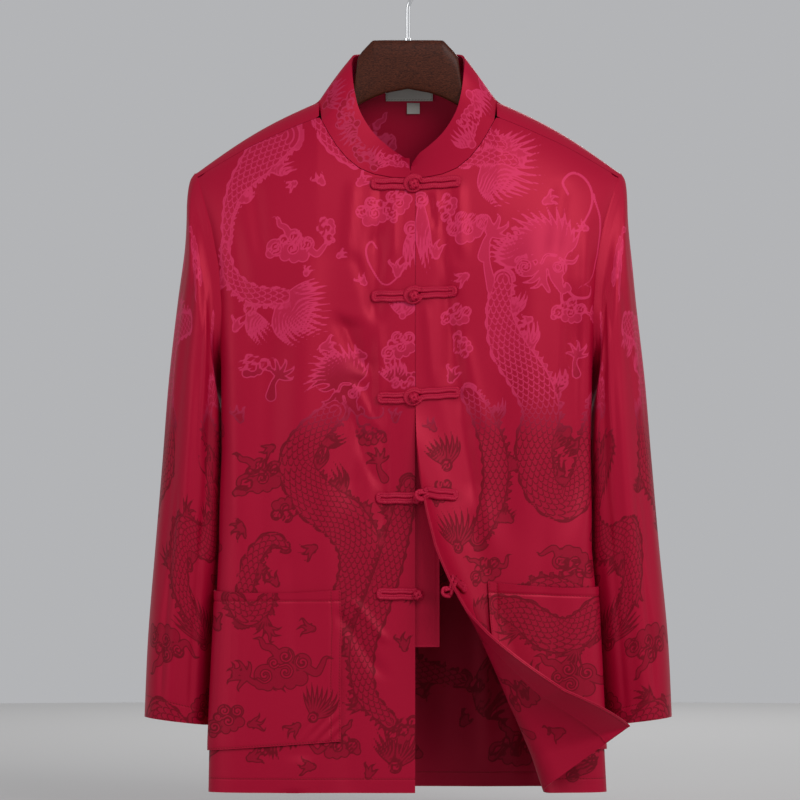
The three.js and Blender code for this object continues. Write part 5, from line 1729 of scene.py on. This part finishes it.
half = np.linspace(0, WOOD_END, 180)
xs = np.concatenate([-half[::-1], half[1:]])
top = wood_line(np.abs(xs), 1)
low = wood_line(np.abs(xs), 2)
end = np.sqrt(np.clip((WOOD_END - np.abs(xs)) / 6, 0.02, 1))
thick = mix(6.5, 9, ease((np.abs(xs) - 90) / 120)) * np.maximum(end, 0.35)
mid = (top + low) / 2
tall = (top - low) / 2 * mix(0.8, 1, end)
a = np.arange(WOOD_SIDES) / WOOD_SIDES * 2 * math.pi
cy = np.sign(np.cos(a)) * np.abs(np.cos(a)) ** 0.7
sz = np.sign(np.sin(a)) * np.abs(np.sin(a)) ** 0.7
grid = np.stack([
    np.repeat(xs[:, None], WOOD_SIDES, 1),
    thick[:, None] * cy[None],
    mid[:, None] + tall[:, None] * sz[None],
], -1)
index = np.arange(len(xs) * WOOD_SIDES).reshape(len(xs), WOOD_SIDES)
faces = grid_quads(index, True, True).tolist() + [index[0].tolist(), index[-1][::-1].tolist()]
wood = make_mesh("hanger_body", grid.reshape(-1, 3), faces, 50)
keep(wood, "wood", "hanger_wood")

HOOK_RADIUS = 2.4
BOW = 20.0  # radius of the bow, to the middle of the wire
line = [(0, -91.5), (0, -76), (0, -62), (0.6, -52), (5, -43)]
for deg in (-38, -12, 14, 40, 65, 90, 115, 140, 165, 190, 212):
    r = math.radians(deg)
    line.append((BOW * math.cos(r), HOOK_RADIUS - BOW + BOW * math.sin(r)))
path = smooth_path([(x, 0, z) for x, z in line], 170)
normals = np.tile([0.0, -1.0, 0.0], (len(path), 1))
hook_parts = [tube(path, normals, HOOK_RADIUS, HOOK_RADIUS, 20, False, 3)]
foot = np.array([(0, 0, z) for z in (-91.2, -90.6, -89.4, -88.2, -87.6)])
hook_parts.append(tube(foot, normals[:5], 4.6, 4.6, 24, False, 1))
hook = join_parts("hanger_wire", hook_parts)
keep(hook, "hook", "hanger_hook")
print("hanger", len(wood.data.polygons), "faces, hook", len(hook.data.polygons), "faces")

# %% [markdown]
# Every material is one Principled shader with a small tree in front of it. This helper keeps the
# trees short: a number may be typed in, or come from another node's output.

# %% Node helpers
class Tree:
    """Adds nodes to one node tree."""

    def __init__(self, tree):
        self.tree = tree

    def add(self, kind, *values, **settings):
        """Adds a node, sets it up, and gives its inputs numbers or links, in their order."""
        made = self.tree.nodes.new("ShaderNode" + kind)
        for key, value in settings.items():
            setattr(made, key, value)
        for socket, value in zip([s for s in made.inputs if s.enabled], values):
            self.feed(socket, value)
        return made

    def feed(self, socket, value):
        if isinstance(value, bpy.types.NodeSocket):
            self.tree.links.new(value, socket)
        elif value is not None:
            socket.default_value = value

    def number(self, name):
        """A number stored on the mesh's points."""
        return self.add("Attribute", attribute_type="GEOMETRY", attribute_name=name).outputs["Fac"]

    def math(self, operation, *values):
        return self.add("Math", *values, operation=operation).outputs[0]

    def smooth(self, value, low, high):
        """0 below low, 1 above high, and a soft step between them."""
        step = self.add("MapRange", value, low, high, 0.0, 1.0, interpolation_type="SMOOTHSTEP")
        return step.outputs[0]

    def blend(self, share, a, b, kind="MIX"):
        made = self.add("Mix", data_type="RGBA", blend_type=kind)
        sockets = [s for s in made.inputs if s.enabled]
        for socket, value in zip(sockets, (share, a, b)):
            self.feed(socket, value)
        return [s for s in made.outputs if s.enabled][0]

    def bump(self, height, strength, distance, normal=None):
        made = self.add("Bump")
        self.feed(made.inputs["Strength"], strength)
        self.feed(made.inputs["Distance"], distance)
        self.feed(made.inputs["Height"], height)
        self.feed(made.inputs["Normal"], normal)
        return made.outputs["Normal"]

    def use(self, group, **inputs):
        made = self.tree.nodes.new("ShaderNodeGroup")
        made.node_tree = group
        for key, value in inputs.items():
            self.feed(made.inputs[key.replace("_", " ")], value)
        return made.outputs


def new_group(name, inputs, outputs):
    """An empty node group with named sockets; gives the group, its helper, inputs and outputs."""
    group = bpy.data.node_groups.new(name, "ShaderNodeTree")
    kinds = {"value": "NodeSocketFloat", "colour": "NodeSocketColor"}
    for way, sockets in (("INPUT", inputs), ("OUTPUT", outputs)):
        for label, kind in sockets.items():
            group.interface.new_socket(name=label, in_out=way, socket_type=kinds[kind])
    start = group.nodes.new("NodeGroupInput")
    end = group.nodes.new("NodeGroupOutput")
    return group, Tree(group), start.outputs, end.inputs


def principled(name, **values):
    """A material of one Principled shader; gives it, its tree's helper and its inputs."""
    material = bpy.data.materials.new(name)
    material.use_nodes = True
    shader = material.node_tree.nodes["Principled BSDF"]
    for key, value in values.items():
        shader.inputs[key.replace("_", " ")].default_value = value
    return material, Tree(material.node_tree), shader.inputs


# %% [markdown]
# Two effects are used by several materials, so they are node groups. The thread group raises a fine
# diagonal rib, as satin and cord have it. The stitch group draws a sewn line where the stored
# distance is near nought, with a dimple along it and a gap between one stitch and the next.

# %% Groups
THREAD_LEAN = 0.55  # how far the ribs slant
STITCH_RATE = 1.9  # radians of a stitch and its gap, per mm

threads, t, given, out = new_group(
    "thread ribs", {"Across": "value", "Along": "value", "Pitch": "value"}, {"Height": "value"}
)
slant = t.math("MULTIPLY_ADD", given["Along"], THREAD_LEAN, given["Across"])
t.feed(out["Height"], t.math("SINE", t.math("DIVIDE", slant, given["Pitch"])))

stitching, t, given, out = new_group(
    "stitch line",
    {"Color": "colour", "Thread": "colour", "Distance": "value", "Walk": "value"},
    {"Color": "colour", "Height": "value"},
)
near = t.math("SUBTRACT", 1.0, t.smooth(given["Distance"], 0.35, 0.95))
dash = t.smooth(t.math("SINE", t.math("MULTIPLY", given["Walk"], STITCH_RATE)), -0.7, -0.2)
mark = t.math("MULTIPLY", near, dash)
wide = t.math("SUBTRACT", 1.0, t.smooth(given["Distance"], 0.4, 2.6))
t.feed(out["Color"], t.blend(mark, given["Color"], given["Thread"]))
t.feed(out["Height"], t.math("SUBTRACT", t.math("MULTIPLY", mark, 0.5), wide))
print("node groups:", [group.name for group in bpy.data.node_groups])

# %% [markdown]
# The satin reads the stored numbers. The figures get a painted highlight in the upper part and painted
# shade lower down, where they are darker than the ground: the colour stands in for how the satin's weave
# catches the light at its slope.

# %% Satin
GROUND = (0.4, 0.002, 0.03, 1)
GROUND_SHADE = (0.35, 0.0015, 0.025, 1)
# lit and shaded copies of the figure colour: painted highlight and painted shade
FIGURE_PAINTED_HIGHLIGHT = (0.57, 0.026, 0.1, 1)
FIGURE_PAINTED_SHADE = (0.15, 0.0005, 0.009, 1)
STITCH = (0.2, 0.002, 0.012, 1)
SCALE = 6.4  # size of a scale, in mm
SCALE_ARC = 0.43  # radius of its arc, as a share of it

satin, t, shader = principled("satin")
across = t.number("cloth_u")
along = t.number("cloth_v")
figure = t.number("figure")
scaled = t.number("scaled")
walk = t.number("along")
side_way = t.number("across")

fill = t.smooth(figure, -0.35, 0.3)
inside = t.smooth(figure, 0.9, 1.5)
# scales: rows of arcs, each row half a scale further on
row_at = t.math("DIVIDE", walk, SCALE)
row = t.math("FLOOR", row_at)
place_x = t.math("MULTIPLY_ADD", row, 0.5, t.math("DIVIDE", side_way, SCALE))
scale_x = t.math("SUBTRACT", t.math("FRACT", place_x), 0.5)
scale_y = t.math("MULTIPLY", t.math("FRACT", row_at), 0.55)
reach = t.math("SQRT", t.math("ADD", t.math("POWER", scale_x, 2.0), t.math("POWER", scale_y, 2.0)))
off_arc = t.math("ABSOLUTE", t.math("SUBTRACT", reach, SCALE_ARC))
arc = t.math("SUBTRACT", 1.0, t.smooth(off_arc, 0.03, 0.11))
in_body = t.smooth(scaled, 0.0, 0.7)
# outlines and arcs are one tone, what is inside them a fainter one
outline = t.math("SUBTRACT", fill, t.math("MULTIPLY", fill, inside))
lines = t.math("MAXIMUM", outline, t.math("MULTIPLY", in_body, arc))
flats = t.math("MAXIMUM", t.math("MULTIPLY", fill, 0.36), t.math("MULTIPLY", in_body, 0.16))
pattern = t.math("MAXIMUM", lines, flats)
# the stored height value blends the figures between painted shade and painted highlight
light = t.number("light")
line_painted_light_tone = t.blend(t.smooth(light, 0.0, 0.55), FIGURE_PAINTED_SHADE, FIGURE_PAINTED_HIGHLIGHT)
flat_painted_light_tone = t.blend(t.smooth(light, 0.5, 1.0), FIGURE_PAINTED_SHADE, FIGURE_PAINTED_HIGHLIGHT)
shade_noise = t.add("TexNoise", None, 0.0, 9.0, 2.0).outputs[0]
ground = t.blend(t.smooth(shade_noise, 0.3, 0.7), GROUND, GROUND_SHADE)
woven = t.blend(t.math("MULTIPLY", lines, 0.85), t.blend(flats, ground, flat_painted_light_tone), line_painted_light_tone)
faced = t.blend(t.math("MULTIPLY", t.number("reverse"), 0.12), woven, STITCH)
sewn = t.use(
    stitching, Color=faced, Thread=STITCH, Distance=t.number("stitch"), Walk=t.math("ADD", across, along)
)
t.feed(shader["Base Color"], sewn["Color"])
t.feed(shader["Roughness"], t.math("MULTIPLY_ADD", pattern, 0.08, 0.46))
shader["Metallic"].default_value = 0.22
shader["Specular IOR Level"].default_value = 0.16
ribs = t.use(threads, Across=across, Along=along, Pitch=0.16)
normal = t.bump(ribs["Height"], 0.12, 0.00005)
normal = t.bump(sewn["Height"], 0.5, 0.0003, normal)
t.feed(shader["Normal"], t.bump(pattern, 0.3, 0.0002, normal))
print("the satin's tree has", len(satin.node_tree.nodes), "nodes")

# %% [markdown]
# The cord and the label's tape use the same groups as the satin. The wood has a streaked grain from
# a stretched noise, and the hook is bare chrome. Each piece then gets the material of its slot.

# %% Cord, tape, wood and hook
WOOD_DARK = (0.018, 0.004, 0.002, 1)
WOOD_LIGHT = (0.085, 0.02, 0.009, 1)
CORD_RED = (0.42, 0.004, 0.036, 1)
TAPE_GREY = (0.42, 0.4, 0.37, 1)
TAPE_THREAD = (0.3, 0.27, 0.24, 1)
CHROME_GREY = (0.78, 0.79, 0.8, 1)

cord, t, shader = principled("cord", Metallic=0.15, Roughness=0.5, Specular_IOR_Level=0.2)
shader["Base Color"].default_value = CORD_RED
ribs = t.use(threads, Across=t.number("cloth_u"), Along=t.number("cloth_v"), Pitch=0.32)
t.feed(shader["Normal"], t.bump(ribs["Height"], 0.5, 0.0004))

tape, t, shader = principled("tape", Roughness=0.75)
sewn = t.use(
    stitching,
    Color=TAPE_GREY,
    Thread=TAPE_THREAD,
    Distance=t.number("stitch"),
    Walk=t.math("ADD", t.number("cloth_u"), t.number("cloth_v")),
)
t.feed(shader["Base Color"], sewn["Color"])
ribs = t.use(threads, Across=t.number("cloth_u"), Along=t.number("cloth_v"), Pitch=0.12)
t.feed(shader["Normal"], t.bump(ribs["Height"], 0.3, 0.0001))

walnut, t, shader = principled("walnut", Roughness=0.45, Specular_IOR_Level=0.12)
place = t.add("TexCoord").outputs["Object"]
grain_place = t.add("Mapping", place, None, None, (6.0, 60.0, 60.0)).outputs[0]
grain = t.add("TexNoise", grain_place, None, 4.0, 2.5).outputs[0]
t.feed(shader["Base Color"], t.blend(t.smooth(grain, 0.35, 0.65), WOOD_DARK, WOOD_LIGHT))
shader["Coat Weight"].default_value = 0.05
shader["Coat Roughness"].default_value = 0.25

chrome, t, shader = principled("chrome", Metallic=1.0, Roughness=0.1)
shader["Base Color"].default_value = CHROME_GREY

PAINTS = {"satin": satin, "cord": cord, "label": tape, "wood": walnut, "hook": chrome}
for piece in pieces.values():
    piece.data.materials.append(PAINTS[piece["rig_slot"]])
print(len(pieces), "pieces painted with", len(PAINTS), "materials")

# %% [markdown]
# The stage is a plain pale floor under an even pale sky, so that the shirt can be seen from every
# side. One large soft light stands high in front at the right, and weaker ones at the sides.

# %% Stage and lights
FLOOR_Z = -955
FLOOR_RADIUS = 3200
FLOOR_SIDES = 96
FLOOR_GREY = (0.5, 0.495, 0.49, 1)
SKY = (0.96, 0.97, 1, 1)
rim = np.arange(FLOOR_SIDES) / FLOOR_SIDES * 2 * math.pi
points = np.stack([np.cos(rim), np.sin(rim), np.ones(FLOOR_SIDES)], -1)
points = points * (FLOOR_RADIUS, FLOOR_RADIUS, FLOOR_Z)
floor = make_mesh("floor", points, [list(range(FLOOR_SIDES))], 0)
floor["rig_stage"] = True
floor_paint, t, shader = principled("pale_floor", Roughness=0.8)
shader["Base Color"].default_value = FLOOR_GREY
floor.data.materials.append(floor_paint)


def area_light(name, place, aim, size, watts):
    """A soft light at a place, turned towards aim; its size is width and height in metres."""
    data = bpy.data.lights.new(name, "AREA")
    data.shape = "RECTANGLE"
    data.size, data.size_y = size
    data.energy = watts
    light = bpy.data.objects.new(name, data)
    light.location = place
    way = np.array(aim) - np.array(place)
    light.rotation_euler = Vector(way).to_track_quat("-Z", "Y").to_euler()
    bpy.context.scene.collection.objects.link(light)


area_light("key", (1.3, -2.6, 1.1), (0, 0, -0.45), (1.7, 1.4), 52)
area_light("fill", (-2.4, -1.8, 0.2), (0, 0, -0.5), (1.2, 1.6), 15)
area_light("side", (2.6, -0.6, 0.2), (0, 0, -0.5), (1.0, 1.6), 8)
area_light("back", (0.4, 3.0, 0.9), (0, 0, -0.5), (1.6, 1.4), 26)
world = bpy.data.worlds.new("world")
world.use_nodes = True
sky = world.node_tree.nodes["Background"]
sky.inputs["Color"].default_value = SKY
sky.inputs["Strength"].default_value = 0.47
bpy.context.scene.world = world
bpy.context.scene.view_settings.view_transform = "Standard"
print("four lights and a floor at", FLOOR_Z, "mm")

# %% [markdown]
# The bounds of every shown piece are taken, the stage left out.

# %% Bounds
bpy.context.view_layer.update()
low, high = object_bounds()
